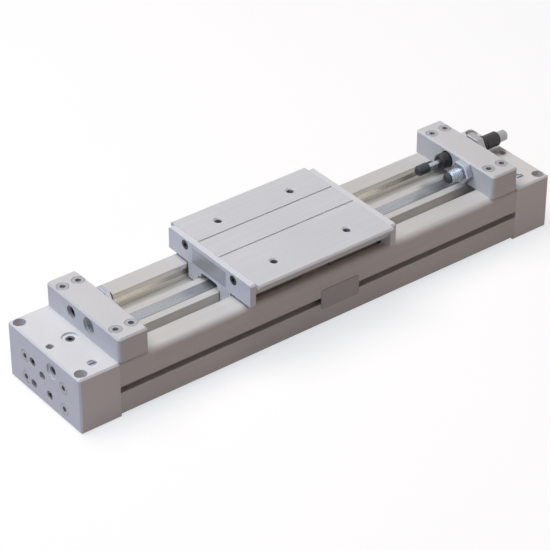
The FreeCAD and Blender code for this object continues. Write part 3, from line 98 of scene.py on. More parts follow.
class Bench:
    """Places nodes in one shader tree."""

    def __init__(self, tree: Tree) -> None:
        """Keep the shader tree of a material, the world or a group."""
        self.tree = tree

    @classmethod
    def cleared(cls, owner: Material | bpy.types.World) -> "Bench":
        """Bench of a material or world whose own nodes are taken out.

        Args:
            owner: The material or world.

        Returns:
            The bench.
        """
        owner.use_nodes = True
        owner.node_tree.nodes.clear()
        return cls(owner.node_tree)

    def put(self, kind: str, **sockets: object) -> bpy.types.Node:
        """Add a node and fill its inputs.

        Args:
            kind: Node type without its ShaderNode prefix.
            sockets: Input names, with spaces as underscores; a socket is linked, anything else is set.

        Returns:
            The new node.
        """
        node = self.tree.nodes.new(f"ShaderNode{kind}")
        for name, value in sockets.items():
            self.feed(node.inputs[name.replace("_", " ")], value)
        return node

    def feed(self, target: Socket, value: object) -> None:
        """Link a socket into the target, or set the target's own number or colour.

        Args:
            target: Input socket.
            value: Socket, number or colour.
        """
        if isinstance(value, Socket):
            self.tree.links.new(value, target)
        else:
            target.default_value = value

    def math(self, operation: str, *values: object, kind: str = "Math") -> Socket:
        """Add a Math node, or a Vector Math node that gives a number.

        Args:
            operation: Blender's name of the operation.
            values: Numbers or sockets in the order of the node's inputs.
            kind: Node type, Math or VectorMath.

        Returns:
            The value socket.
        """
        node = self.put(kind)
        node.operation = operation
        for socket, value in zip(node.inputs, values):
            self.feed(socket, value)
        return node.outputs["Value"]

    def average(self, first: object, second: object) -> Socket:
        """Average of two values."""
        return self.math("MULTIPLY", self.math("ADD", first, second), 0.5)

    def mix(self, share: object, first: object, second: object) -> Socket:
        """Mix two colours.

        Args:
            share: Share of the second colour, a number or socket.
            first: Colour or socket.
            second: Colour or socket.

        Returns:
            The colour socket.
        """
        node = self.put("Mix")
        node.data_type = "RGBA"
        for name, value in (("Factor_Float", share), ("A_Color", first), ("B_Color", second)):
            socket = next(item for item in node.inputs if item.identifier == name)
            self.feed(socket, (*value, 1.0) if isinstance(value, tuple) else value)
        return next(item for item in node.outputs if item.identifier == "Result_Color")

    def span(self, value: object, source: Span, result: Span = UNIT) -> Socket:
        """Map a value from one span to another, clamped.

        Args:
            value: Socket to map.
            source: Start and end of its span.
            result: Results at the start and the end.

        Returns:
            The mapped value socket.
        """
        (low, high), (first, last) = source, result
        node = self.put("MapRange", Value=value, From_Min=low, From_Max=high, To_Min=first, To_Max=last)
        return node.outputs["Result"]

    def between(self, value: object, limits: Span) -> Socket:
        """Mask of where a value lies between a lower and an upper limit."""
        above = self.math("GREATER_THAN", value, limits[0])
        return self.math("MULTIPLY", above, self.math("LESS_THAN", value, limits[1]))

    def group(self, tree: Tree, **sockets: object) -> dict[str, Socket]:
        """Place a shared node group and fill its inputs.

        Args:
            tree: The group.
            sockets: Inputs by name.

        Returns:
            Its output sockets by name.
        """
        node = self.tree.nodes.new("ShaderNodeGroup")
        node.node_tree = tree
        for name, value in sockets.items():
            self.feed(node.inputs[name], value)
        return {socket.name: socket for socket in node.outputs}

    def show(self, shader: Socket, output: str = "OutputMaterial") -> None:
        """Lead a shader to the surface of the tree's output."""
        self.feed(self.put(output).inputs["Surface"], shader)


@dataclass
class Effects:
    """Shader node groups that several finishes share, with the sizes of their patterns."""

    finer: float = 3.7
    fine_share: float = 0.5
    line_span: Span = (0.5, 1.0)
    noise_span: Span = (0.3, 0.7)
    tone_roughness: float = 0.55
    edge_samples: int = 6
    edge_span: Span = (0.995, 0.85)
    patch_size: float = 220.0
    patch_span: Span = (0.3, 0.6)
    patch_scuff_and_highlight: Span = (0.35, 1.0)
    pit_share: float = 0.4

    def __post_init__(self) -> None:
        """Build every group once."""
        self.lines = self._lines()
        self.tone = self._tone()
        self.edges = self._edges()
        self.grit = self._grit()

    @staticmethod
    def _start(name: str, size: str, *outputs: str) -> tuple[Bench, dict, dict]:
        """Begin a group that takes a Vector and one number.

        Args:
            name: Group name.
            size: Name of the number.
            outputs: Names of the outputs, which are numbers apart from Normal.

        Returns:
            Bench of the group, its input sockets and its output sockets by name.
        """
        inputs = ("Vector", size)
        tree = bpy.data.node_groups.new(name, "ShaderNodeTree")
        for side, labels in (("INPUT", inputs), ("OUTPUT", outputs)):
            for label in labels:
                kind = "NodeSocketVector" if label in ("Vector", "Normal") else "NodeSocketFloat"
                tree.interface.new_socket(label, in_out=side, socket_type=kind)
        entry, leave = tree.nodes.new("NodeGroupInput"), tree.nodes.new("NodeGroupOutput")
        given = {label: entry.outputs[label] for label in inputs}
        wanted = {label: leave.inputs[label] for label in outputs}
        return Bench(tree), given, wanted

    def _lines(self) -> Tree:
        """Fine lines left by drawing, rolling or turning.

        Returns:
            Group with the inputs Vector and Fineness and the outputs Shade and Height.
        """
        bench, given, wanted = self._start("drawn_lines", "Fineness", "Shade", "Height")
        coarse = bench.put("TexNoise", Vector=given["Vector"], Scale=given["Fineness"], Detail=2.0)
        finer = bench.math("MULTIPLY", given["Fineness"], self.finer)
        fine = bench.put("TexNoise", Vector=given["Vector"], Scale=finer, Detail=1.0)
        weak = bench.math("MULTIPLY", fine.outputs[0], self.fine_share)
        both = bench.math("ADD", coarse.outputs[0], weak)
        bench.feed(wanted["Shade"], bench.span(both, self.line_span))
        bench.feed(wanted["Height"], both)
        return bench.tree

    def _tone(self) -> Tree:
        """Slow drift of tone over a surface.

        Returns:
            Group with the inputs Vector and Size and the output Shade.
        """
        bench, given, wanted = self._start("slow_tone", "Size", "Shade")
        noise = bench.put("TexNoise", Vector=given["Vector"], Scale=given["Size"], Detail=3.0)
        bench.feed(noise.inputs["Roughness"], self.tone_roughness)
        bench.feed(wanted["Shade"], bench.span(noise.outputs[0], self.noise_span))
        return bench.tree

    def _edges(self) -> Tree:
        """Edges in a brighter colour, partly rubbed wear and partly painted highlight, with a slightly round
        normal.

        Returns:
            Group with the inputs Vector and Reach and the outputs Mask and Normal.
        """
        bench, given, wanted = self._start("scuffed_and_highlit_edges", "Reach", "Mask", "Normal")
        bevel = bench.put("Bevel", Radius=given["Reach"])
        bevel.samples = self.edge_samples
        rounded = bevel.outputs["Normal"]
        flat = bench.put("NewGeometry").outputs["Normal"]
        likeness = bench.math("DOT_PRODUCT", rounded, flat, kind="VectorMath")
        turned = bench.span(likeness, self.edge_span)
        patchy = bench.put("TexNoise", Vector=given["Vector"], Scale=self.patch_size, Detail=2.0)
        broken = bench.span(patchy.outputs[0], self.patch_span, self.patch_scuff_and_highlight)
        bench.feed(wanted["Mask"], bench.math("MULTIPLY", turned, broken))
        bench.feed(wanted["Normal"], rounded)
        return bench.tree

    def _grit(self) -> Tree:
        """Fine pits and specks of blasted, moulded or sintered surfaces.

        Returns:
            Group with the inputs Vector and Size and the outputs Shade and Height.
        """
        bench, given, wanted = self._start("fine_grit", "Size", "Shade", "Height")
        noise = bench.put("TexNoise", Vector=given["Vector"], Scale=given["Size"], Detail=2.0)
        cells = bench.put("TexVoronoi", Vector=given["Vector"], Scale=given["Size"])
        pits = bench.math("MULTIPLY", cells.outputs["Distance"], self.pit_share)
        bench.feed(wanted["Shade"], bench.span(noise.outputs[0], self.noise_span))
        bench.feed(wanted["Height"], bench.math("ADD", noise.outputs[0], pits))
        return bench.tree


@dataclass(frozen=True)
class RunningWalls:
    """Upright walls that bearings run on, on both sides of the middle plane, more metallic and smoother, in a
    lighter colour that is painted light lifting them out of the channel's shade.
    """

    light: Colour
    dark: Colour
    across: Span
    height: Span
    metallic: float = 0.85
    polish: float = 0.5

    def mask(self, bench: Bench, place: Socket) -> Socket:
        """Mask of the walls.

        Args:
            bench: Bench of the material.
            place: Object coordinates.

        Returns:
            The mask socket.
        """
        parts = bench.put("SeparateXYZ", Vector=place).outputs
        across = bench.between(bench.math("ABSOLUTE", parts["Y"]), self.across)
        return bench.math("MULTIPLY", across, bench.between(parts["Z"], self.height))


@dataclass(frozen=True)
class MetalFinish:
    """Metal surface with lines, slow tone drift, and edges brighter partly from rubbed wear and partly as
    painted highlight.
    """

    name: str
    light: Colour
    dark: Colour
    # Edge colour: partly rubbed wear, partly painted highlight.
    scuffed_and_highlit: Colour
    grain: Grain
    fineness: float
    roughness: Span
    metallic: float = 0.06
    relief: float = 0.08
    scuff_and_highlight_share: float = 0.6
    reach: float = 0.18 * MM
    walls: RunningWalls | None = None
    tone_size: float = 34.0
    tone_share: float = 0.45
    line_share: float = 0.55
    grit_size: float = 4200.0
    grit_share: float = 0.5
    depth: float = 0.2 * MM

    def material(self, effects: Effects) -> Material:
        """Build the finish as a material.

        Args:
            effects: Shared node groups.

        Returns:
            The material.
        """
        made = bpy.data.materials.new(self.name)
        bench = Bench.cleared(made)
        place = bench.put("TexCoord").outputs["Object"]
        stretched = bench.put("Mapping", Vector=place, Scale=self.grain.value).outputs["Vector"]
        lines = bench.group(effects.lines, Vector=stretched, Fineness=self.fineness)
        tone = bench.group(effects.tone, Vector=place, Size=self.tone_size)
        grit = bench.group(effects.grit, Vector=place, Size=self.grit_size)
        edges = bench.group(effects.edges, Vector=place, Reach=self.reach)
        drift = bench.math("MULTIPLY", tone["Shade"], self.tone_share)
        share = bench.math("MULTIPLY_ADD", lines["Shade"], self.line_share, drift)
        plain = bench.mix(share, self.dark, self.light)
        # Brighter edges: partly rubbed wear, partly painted highlight.
        scuffed_highlit_mask = bench.math("MULTIPLY", edges["Mask"], self.scuff_and_highlight_share)
        colour = bench.mix(scuffed_highlit_mask, plain, self.scuffed_and_highlit)
        uneven = bench.average(lines["Shade"], grit["Shade"])
        roughness = bench.span(uneven, UNIT, self.roughness)
        metallic = self.metallic
        # Lighter colour on the channel walls: painted light over the channel's shade.
        if self.walls:
            mask = self.walls.mask(bench, place)
            wall_painted_light = bench.mix(share, self.walls.dark, self.walls.light)
            colour = bench.mix(mask, colour, wall_painted_light)
            metallic = bench.span(mask, UNIT, (self.metallic, self.walls.metallic))
            polish = bench.span(mask, UNIT, (1.0, self.walls.polish))
            roughness = bench.math("MULTIPLY", roughness, polish)
        pits = bench.math("MULTIPLY", grit["Height"], self.grit_share)
        height = bench.math("ADD", lines["Height"], pits)
        bump = bench.put("Bump", Strength=self.relief, Distance=self.depth, Height=height)
        bench.feed(bump.inputs["Normal"], edges["Normal"])
        shader = bench.put("BsdfPrincipled", Base_Color=colour, Roughness=roughness, Metallic=metallic)
        bench.feed(shader.inputs["Normal"], bump.outputs["Normal"])
        bench.show(shader.outputs["BSDF"])
        return made


@dataclass(frozen=True)
class MouldedFinish:
    """Rubber, resin, plastic or sintered surface with fine grit and slow tone drift."""

    name: str
    light: Colour
    dark: Colour
    grit_size: float
    roughness: Span
    relief: float = 0.15
    tone_size: float = 60.0
    depth: float = 0.1 * MM

    def material(self, effects: Effects) -> Material:
        """Build the finish as a material.

        Args:
            effects: Shared node groups.

        Returns:
            The material.
        """
        made = bpy.data.materials.new(self.name)
        bench = Bench.cleared(made)
        place = bench.put("TexCoord").outputs["Object"]
        grit = bench.group(effects.grit, Vector=place, Size=self.grit_size)
        tone = bench.group(effects.tone, Vector=place, Size=self.tone_size)
        colour = bench.mix(bench.average(grit["Shade"], tone["Shade"]), self.dark, self.light)
        roughness = bench.span(grit["Shade"], UNIT, self.roughness)
        bump = bench.put("Bump", Strength=self.relief, Distance=self.depth, Height=grit["Height"])
        shader = bench.put("BsdfPrincipled", Base_Color=colour, Roughness=roughness)
        bench.feed(shader.inputs["Normal"], bump.outputs["Normal"])
        bench.show(shader.outputs["BSDF"])
        return made


Finish = MetalFinish | MouldedFinish

# Lighter wall colours: painted light that lifts the channel walls out of their shade.
CHANNEL_WALLS_PAINTED_LIGHT = RunningWalls(
    (0.83, 0.805, 0.755), (0.73, 0.705, 0.655),
    across=(15.9 * MM, 17.6 * MM), height=(20.05 * MM, 27.65 * MM),
)
EXTRUDED = MetalFinish(
    "extruded_anodised", (0.645, 0.633, 0.615), (0.565, 0.553, 0.538), (0.78, 0.77, 0.75),
    grain=Grain.ALONG, fineness=900.0, roughness=(0.42, 0.56), walls=CHANNEL_WALLS_PAINTED_LIGHT,
)
MILLED = MetalFinish(
    "milled_anodised", (0.67, 0.67, 0.68), (0.60, 0.60, 0.61), (0.82, 0.82, 0.83),
    grain=Grain.ALONG, fineness=700.0, roughness=(0.40, 0.54),
)
# Lighter than the milled finish as its own colour, with a slight blue tint that is painted cool light from
# the left.
END_PLATE = MetalFinish(
    "end_plate_anodised", (0.74, 0.74, 0.77), (0.67, 0.67, 0.70), (0.84, 0.84, 0.86),
    grain=Grain.EVEN, fineness=1200.0, roughness=(0.42, 0.56),
)
BLASTED = MetalFinish(
    "blasted_anodised", (0.66, 0.65, 0.65), (0.59, 0.58, 0.58), (0.78, 0.78, 0.79),
    grain=Grain.EVEN, fineness=1400.0, roughness=(0.46, 0.60),
)
COVER = MetalFinish(
    "cover_anodised", (0.75, 0.74, 0.745), (0.68, 0.67, 0.675), (0.84, 0.84, 0.85),
    grain=Grain.EVEN, fineness=1400.0, roughness=(0.46, 0.60),
)
TURNED = MetalFinish(
    "turned_aluminium", (0.80, 0.80, 0.80), (0.70, 0.70, 0.70), (0.88, 0.88, 0.88),
    grain=Grain.TURNED, fineness=2600.0, roughness=(0.26, 0.40), metallic=0.9,
)
ZINC = MetalFinish(
    "blue_zinc_steel", (0.51, 0.55, 0.62), (0.37, 0.405, 0.465), (0.70, 0.74, 0.80),
    grain=Grain.TURNED, fineness=2600.0, roughness=(0.20, 0.34), metallic=0.9,
)
GROUND = MetalFinish(
    "ground_steel", (0.52, 0.54, 0.58), (0.42, 0.44, 0.48), (0.70, 0.72, 0.75),
    grain=Grain.ACROSS, fineness=1500.0, roughness=(0.28, 0.42), metallic=0.7,
)
BAND = MetalFinish(
    "rolled_stainless_band", (0.41, 0.42, 0.45), (0.32, 0.33, 0.36), (0.60, 0.61, 0.64),
    grain=Grain.ALONG, fineness=1500.0, roughness=(0.24, 0.36), metallic=0.75, relief=0.05, reach=0.05 * MM,
)
BARE_PLATE = MetalFinish(
    "bare_plate", (0.40, 0.378, 0.365), (0.34, 0.32, 0.308), (0.58, 0.57, 0.56),
    grain=Grain.ALONG, fineness=1200.0, roughness=(0.44, 0.58), metallic=0.15,
)
DULL_STEEL = MetalFinish(
    "dull_zinc_steel", (0.46, 0.46, 0.47), (0.34, 0.34, 0.35), (0.66, 0.66, 0.67),
    grain=Grain.EVEN, fineness=1800.0, roughness=(0.32, 0.48), metallic=0.6,
)
DARK_STEEL = MetalFinish(
    "dark_plug_steel", (0.20, 0.20, 0.205), (0.13, 0.13, 0.135), (0.42, 0.42, 0.43),
    grain=Grain.EVEN, fineness=1800.0, roughness=(0.34, 0.50), metallic=0.5,
)
# Near-black thread ridges: painted shade of the holes' depth.
THREAD_PAINTED_SHADE = MetalFinish(
    "thread_painted_shade", (0.13, 0.128, 0.125), (0.07, 0.069, 0.068), (0.26, 0.26, 0.26),
    grain=Grain.EVEN, fineness=2600.0, roughness=(0.36, 0.52), metallic=0.3,
)
BLACK_OXIDE = MetalFinish(
    "black_oxide_steel", (0.040, 0.040, 0.044), (0.016, 0.016, 0.018), (0.20, 0.20, 0.21),
    grain=Grain.TURNED, fineness=2400.0, roughness=(0.30, 0.46), metallic=0.35, relief=0.10, scuff_and_highlight_share=0.35,
)
SINTERED = MouldedFinish(
    "sintered_magnet", (0.10, 0.10, 0.11), (0.04, 0.04, 0.045), grit_size=3000.0, roughness=(0.45, 0.65)
)
RUBBER = MouldedFinish(
    "black_rubber", (0.028, 0.028, 0.028), (0.014, 0.014, 0.014), grit_size=5200.0, roughness=(0.62, 0.82)
)
# Dark urethane is its own colour; its blue tint is painted cool light from the left.
URETHANE = MouldedFinish(
    "dark_urethane", (0.040, 0.045, 0.054), (0.020, 0.023, 0.028), grit_size=3600.0, roughness=(0.36, 0.52)
)
BELT = MouldedFinish(
    "belt_urethane", (0.20, 0.20, 0.22), (0.15, 0.15, 0.165), grit_size=3600.0, roughness=(0.40, 0.55)
)
PLASTIC = MouldedFinish(
    "black_plastic", (0.026, 0.026, 0.027), (0.013, 0.013, 0.014), grit_size=4200.0, roughness=(0.34, 0.50)
)
RESIN = MouldedFinish(
    "pale_resin", (0.66, 0.64, 0.57), (0.56, 0.54, 0.47), grit_size=2600.0, roughness=(0.42, 0.58)
)
# Near-black slide bearings: painted shade of the dark gap under the table's lip.
BEARING_PAINTED_SHADE = MouldedFinish(
    "bearing_painted_shade", (0.15, 0.138, 0.12), (0.085, 0.077, 0.067), grit_size=2600.0, roughness=(0.30, 0.46)
)


class Painter:
    """Gives finishes to CAD nodes and new pieces."""

    def __init__(self) -> None:
        """Build the shared effects and start with no materials."""
        self.effects = Effects()
        self.made: dict[str, Material] = {}

    def material(self, finish: Finish) -> Material:
        """Material of a finish, built once.

        Args:
            finish: The finish.

        Returns:
            Its material.
        """
        if finish.name not in self.made:
            self.made[finish.name] = finish.material(self.effects)
        return self.made[finish.name]

    def nodes(self, finish: Finish, *names: str) -> None:
        """Give a finish to CAD nodes.

        Args:
            finish: The finish.
            names: Node names.
        """
        for name in names:
            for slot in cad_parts[name].material_slots:
                slot.material = self.material(finish)
            LOG.info("node %s: %s", name, finish.name)

    def piece(self, item: bpy.types.Object, finish: Finish, slot: str) -> None:
        """Give a finish to a new piece.

        Args:
            item: The piece.
            finish: The finish.
            slot: Not used.
        """
        item.data.materials.append(self.material(finish))
        LOG.info("piece %s: %s, %d faces", item.name, finish.name, len(item.data.polygons))


def pair(name: str) -> tuple[str, str]:
    """Names of the left and right node of a pair."""
    return f"{name}_left", f"{name}_right"


class Shape:
    """A mesh in the making, shaped by bmesh operators."""

    def __init__(self) -> None:
        """Start with an empty mesh."""
        self.bm = bmesh.new()

    def loop(self, points: list[Point], closed: bool = True) -> Edges:
        """Join a few points by edges.

        Args:
            points: Points in metres.
            closed: Whether the last point joins the first.

        Returns:
            The edges.
        """
        verts = [self.bm.verts.new(point) for point in points]
        ends = list(zip(verts, verts[1:]))
        if closed:
            ends.append((verts[-1], verts[0]))
        return [self.bm.edges.new(both) for both in ends]

    def push(self, edges: Edges, step: Point) -> Edges:
        """Extrude edges by a step.

        Args:
            edges: Edges to extrude.
            step: Way in metres.

        Returns:
            The new end edges.
        """
        made = bmesh.ops.extrude_edge_only(self.bm, edges=edges)["geom"]
        verts = [item for item in made if isinstance(item, bmesh.types.BMVert)]
        bmesh.ops.translate(self.bm, verts=verts, vec=step)
        fresh = set(verts)
        grown = [item for item in made if isinstance(item, bmesh.types.BMEdge)]
        return [edge for edge in grown if set(edge.verts) <= fresh]

    def turn(
        self, edges: Edges, centre: Point, axis: Point, angle: float, steps: int, advance: Point = NO_MOVE
    ) -> Edges:
        """Spin edges about an axis.

        Args:
            edges: Edges to spin.
            centre: Point on the axis.
            axis: Direction of the axis.
            angle: Angle in radians.
            steps: Number of steps.
            advance: Move added at each step.

        Returns:
            The last edges.
        """
        verts = list(dict.fromkeys(vert for edge in edges for vert in edge.verts))
        full = angle == FULL_TURN and not any(advance)
        made = bmesh.ops.spin(
            self.bm, geom=verts + edges, cent=centre, axis=axis, dvec=advance, angle=angle, steps=steps,
            use_merge=full, use_duplicate=False,
        )
        return [item for item in made["geom_last"] if isinstance(item, bmesh.types.BMEdge)]

    def cap(self, *loops: Edges) -> None:
        """Close each loop of edges with one face."""
        for edges in loops:
            bmesh.ops.contextual_create(self.bm, geom=edges)

    def wind(
        self, section: list[Point], centre: Point, axis: Point, pitch: float, turns: int, per_turn: int
    ) -> None:
        """Wind the cross-section of a thread's ridge or a spring's wire along a helix.

        Args:
            section: Corners of the cross-section where the helix starts.
            centre: Point on the axis.
            axis: Direction that the helix advances in.
            pitch: Advance of one turn.
            turns: Number of turns.
            per_turn: Steps of one turn.
        """
        first = self.loop(section)
        step = tuple(part * pitch / per_turn for part in axis)
        last = self.turn(first, centre, axis, FULL_TURN * turns, per_turn * turns, step)
        self.cap(first, last)

    def weld(self) -> None:
        """Merge vertices that share a place, such as a turned shape's poles."""
        bmesh.ops.remove_doubles(self.bm, verts=self.bm.verts, dist=SAME_PLACE)

    def piece(self, name: str, smooth: bool = False) -> bpy.types.Object:
        """Finish the mesh as an object.

        Args:
            name: Piece name.
            smooth: Whether round faces are shaded smooth, with sharp corners kept.

        Returns:
            The object, at the origin.
        """
        self.weld()
        bmesh.ops.recalc_face_normals(self.bm, faces=self.bm.faces)
        if smooth:
            for face in self.bm.faces:
                face.smooth = True
            for edge in self.bm.edges:
                edge.smooth = len(edge.link_faces) == 2 and edge.calc_face_angle() < SHARP_CORNER
        mesh = bpy.data.meshes.new(name)
        self.bm.to_mesh(mesh)
        self.bm.free()
        item = bpy.data.objects.new(name, mesh)
        bpy.context.scene.collection.objects.link(item)
        return item


@dataclass(frozen=True)
class Strip:
    """Sealing strip: two flat runs that slide under the table's ends and a raised part inside the table."""

    node: str
    slot: str
    finish: Finish
    width: float
    thick: float
    level: float
    raised: float
    eased: float
    end: float = 109.5 * MM
    table: float = TABLE_MIDDLE
    outer: float = 38.0 * MM
    inner: float = 20.0 * MM
    bend_steps: int = 8

    def _section(self, shape: Shape, along: float) -> Edges:
        """Cross-section of the strip at one place along the stroke.

        Args:
            shape: Mesh in the making.
            along: Place along the stroke.

        Returns:
            Its edges, with the corners eased.
        """
        side, half = self.width / 2.0, self.thick / 2.0
        flat, wall = side - self.eased, half - self.eased
        corners = (
            (-flat, -half), (flat, -half), (side, -wall), (side, wall),
            (flat, half), (-flat, half), (-side, wall), (-side, -wall),
        )
        return shape.loop([(along, across, self.level + up) for across, up in corners])

    def _run(self, label: str, start: float, stop: float) -> bpy.types.Object:
        """Flat run between a clamp and the table.

        Args:
            label: Name of the run.
            start: Place of its clamped end.
            stop: Place of its end in the table.

        Returns:
            The run, with its place applied to its mesh.
        """
        shape = Shape()
        first = self._section(shape, start)
        last = shape.push(first, (stop - start, 0.0, 0.0))
        shape.cap(first, last)
        run = shape.piece(f"{self.node}_{label}")
        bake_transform(run)
        return run

    def _lift(self) -> bpy.types.Object:
        """Raised part inside the table, with an S-bend at each end.

        Returns:
            The part, riding on the carriage.
        """
        run, rise = self.outer - self.inner, self.raised - self.level
        radius = (run**2 + rise**2) / (4.0 * abs(rise))
        angle = 2.0 * math.atan2(abs(rise), run)
        way = math.copysign(1.0, rise)
        bend, back = (0.0, -way, 0.0), (0.0, way, 0.0)
        low, high = self.level + way * radius, self.raised - way * radius
        start, far = self.table - self.outer, self.table + self.inner
        shape = Shape()
        first = self._section(shape, start)
        edges = shape.turn(first, (start, 0.0, low), bend, angle, self.bend_steps)
        edges = shape.turn(edges, (start + run, 0.0, high), back, angle, self.bend_steps)
        edges = shape.push(edges, (2.0 * self.inner, 0.0, 0.0))
        edges = shape.turn(edges, (far, 0.0, high), back, angle, self.bend_steps)
        last = shape.turn(edges, (far + run, 0.0, low), bend, angle, self.bend_steps)
        shape.cap(first, last)
        lift = shape.piece(f"{self.node}_lift", smooth=True)
        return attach(lift, Carrier.CARRIAGE.value)

    def build(self, painter: Painter) -> None:
        """Make the three parts in place of the CAD strip.

        Args:
            painter: Gives the finish.
        """
        parts = (
            self._run("left", -self.end, self.table - self.outer),
            self._lift(),
            self._run("right", self.end, self.table + self.outer),
        )
        for part in parts:
            painter.piece(part, self.finish, self.slot)
            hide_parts(self.node)


@dataclass(frozen=True)
class ThreadForm:
    """Ridge of a thread, in shares of its pitch."""

    height: float
    half_foot: float
    half_crest: float
    steps: int

    def corners(self, pitch: float, root: float, crest: float) -> list[Span]:
        """Place along the axis and radius of each corner of a ridge with a given root and crest radius."""
        half, flat = self.half_foot * pitch, self.half_crest * pitch
        return [(0.0, root), (half - flat, crest), (half + flat, crest), (2.0 * half, root)]

    @staticmethod
    def turns(length: float, pitch: float) -> int:
        """Whole turns that fit in a length beside the ridge's own width."""
        return math.floor(length / pitch - 1.0)


ROD_THREAD = ThreadForm(height=0.62, half_foot=0.46, half_crest=0.07, steps=28)
HOLE_THREAD = ThreadForm(height=0.24, half_foot=0.38, half_crest=0.08, steps=24)


@dataclass
class ThreadedRod:
    """Turned rod along the stroke, with a helical thread and a hexagon socket where it has them."""

    name: str
    node: str
    slot: str
    finish: MetalFinish
    across: float
    profile: list[Span]
    thread: Span = (0.0, 0.0)
    crest: float = 0.0
    pitch: float = 1.0 * MM
    socket: float = 0.0
    socket_way: float = 1.0
    socket_depth: float = 2.0 * MM
    up: float = STOP_HEIGHT
    steps: int = 48

    def _turned(self, shape: Shape) -> None:
        """Spin the rod's profile about its axis.

        Args:
            shape: Mesh in the making.
        """
        points = [(along, self.across, self.up + radius) for along, radius in self.profile]
        edges = shape.loop(points, closed=False)
        shape.turn(edges, (0.0, self.across, self.up), STROKE_WAY, FULL_TURN, self.steps)
        shape.weld()

    def _hexagon(self, shape: Shape) -> None:
        """Sink a hexagon socket into the open end of the rod.

        Args:
            shape: Mesh in the making.
        """
        along = self.profile[-1][0]
        rim = [edge for edge in shape.bm.edges if edge.is_boundary]
        corner = self.socket / math.sqrt(3.0)
        upright = Matrix.Rotation(math.pi / 2.0, 4, "Y")
        made = bmesh.ops.create_circle(shape.bm, segments=HEXAGON, radius=corner, matrix=upright)
        ring = made["verts"]
        bmesh.ops.translate(shape.bm, verts=ring, vec=(along, self.across, self.up))
        sides = list(dict.fromkeys(edge for vert in ring for edge in vert.link_edges))
        split = bmesh.ops.subdivide_edges(shape.bm, edges=sides, cuts=self.steps // HEXAGON - 1)
        cut = dict.fromkeys(split["geom_inner"] + split["geom_split"])
        sides = [item for item in cut if isinstance(item, bmesh.types.BMEdge)]
        bmesh.ops.bridge_loops(shape.bm, edges=rim + sides)
        floor = shape.push(sides, (-self.socket_way * self.socket_depth, 0.0, 0.0))
        shape.cap(floor)

    def _ridge(self, shape: Shape) -> None:
        """Wind the thread's ridge round the rod.

        Args:
            shape: Mesh in the making.
        """
        start, stop = self.thread
        root = self.crest - ROD_THREAD.height * self.pitch
        corners = ROD_THREAD.corners(self.pitch, root, self.crest)
        points = [(start + along, self.across, self.up + radius) for along, radius in corners]
        turns = ROD_THREAD.turns(stop - start, self.pitch)
        shape.wind(points, (0.0, self.across, self.up), STROKE_WAY, self.pitch, turns, ROD_THREAD.steps)

    def build(self, painter: Painter) -> None:
        """Make the rod in place of its CAD node.

        Args:
            painter: Gives the finish.
        """
        shape = Shape()
        self._turned(shape)
        if self.socket:
            self._hexagon(shape)
        if self.crest:
            self._ridge(shape)
        rod = shape.piece(self.name, smooth=True)
        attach(rod, Carrier.BASE.value)
        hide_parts(self.node)
        painter.piece(rod, self.finish, self.slot)


@dataclass(frozen=True)
class HoleThread:
    """Thread on the walls of tapped holes that point the same way."""

    name: str
    carrier: Carrier
    slot: str
    mouths: tuple[Point, ...]
    inward: Point
    core: float
    pitch: float
    depth: float
    # Default finish is near black: painted shade of the holes' depth.
    finish: MetalFinish = THREAD_PAINTED_SHADE
    sunk: float = 0.02 * MM

    def build(self, painter: Painter) -> None:
        """Wind one ridge into each hole.

        Args:
            painter: Gives the finish.
        """
        shape = Shape()
        inward = Vector(self.inward)
        across = inward.orthogonal().normalized()
        crest = self.core - HOLE_THREAD.height * self.pitch
        corners = HOLE_THREAD.corners(self.pitch, self.core + self.sunk, crest)
        turns = HOLE_THREAD.turns(self.depth, self.pitch)
        for mouth in self.mouths:
            ridge = [tuple(Vector(mouth) + inward * along + across * radius) for along, radius in corners]
            shape.wind(ridge, mouth, self.inward, self.pitch, turns, HOLE_THREAD.steps)
        thread = shape.piece(self.name, smooth=True)
        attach(thread, self.carrier.value)
        painter.piece(thread, self.finish, self.slot)


@dataclass(frozen=True)
class CoilSpring:
    """Spring behind the shock absorber's rod, wound here at one length; the rod presses it together as it
    goes in.
    """

    across: float = ABSORBER_ACROSS
    up: float = STOP_HEIGHT
    start: float = 96.05 * MM
    stop: float = 109.95 * MM
    coil: float = 2.2 * MM
    wire: float = 0.6 * MM
    turns: int = 4
    steps: int = 32
    stroke: float = 6.0 * MM

    def build(self, painter: Painter) -> None:
        """Wind the spring in place of its CAD node.

        Args:
            painter: Gives the finish.
        """
        half = self.wire / 2.0
        first = self.start + half
        pitch = (self.stop - self.start - self.wire) / self.turns
        section = [
            (first + along * half, self.across, self.up + self.coil + out * half)
            for along, out in ((-1.0, -1.0), (1.0, -1.0), (1.0, 1.0), (-1.0, 1.0))
        ]
        shape = Shape()
        shape.wind(section, (0.0, self.across, self.up), STROKE_WAY, pitch, self.turns, self.steps)
        spring = shape.piece("absorber_spring_coil", smooth=True)
        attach(spring, Carrier.BASE.value)
        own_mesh(spring)
        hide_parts("absorber_spring")
        painter.piece(spring, ZINC, "bright_steel")


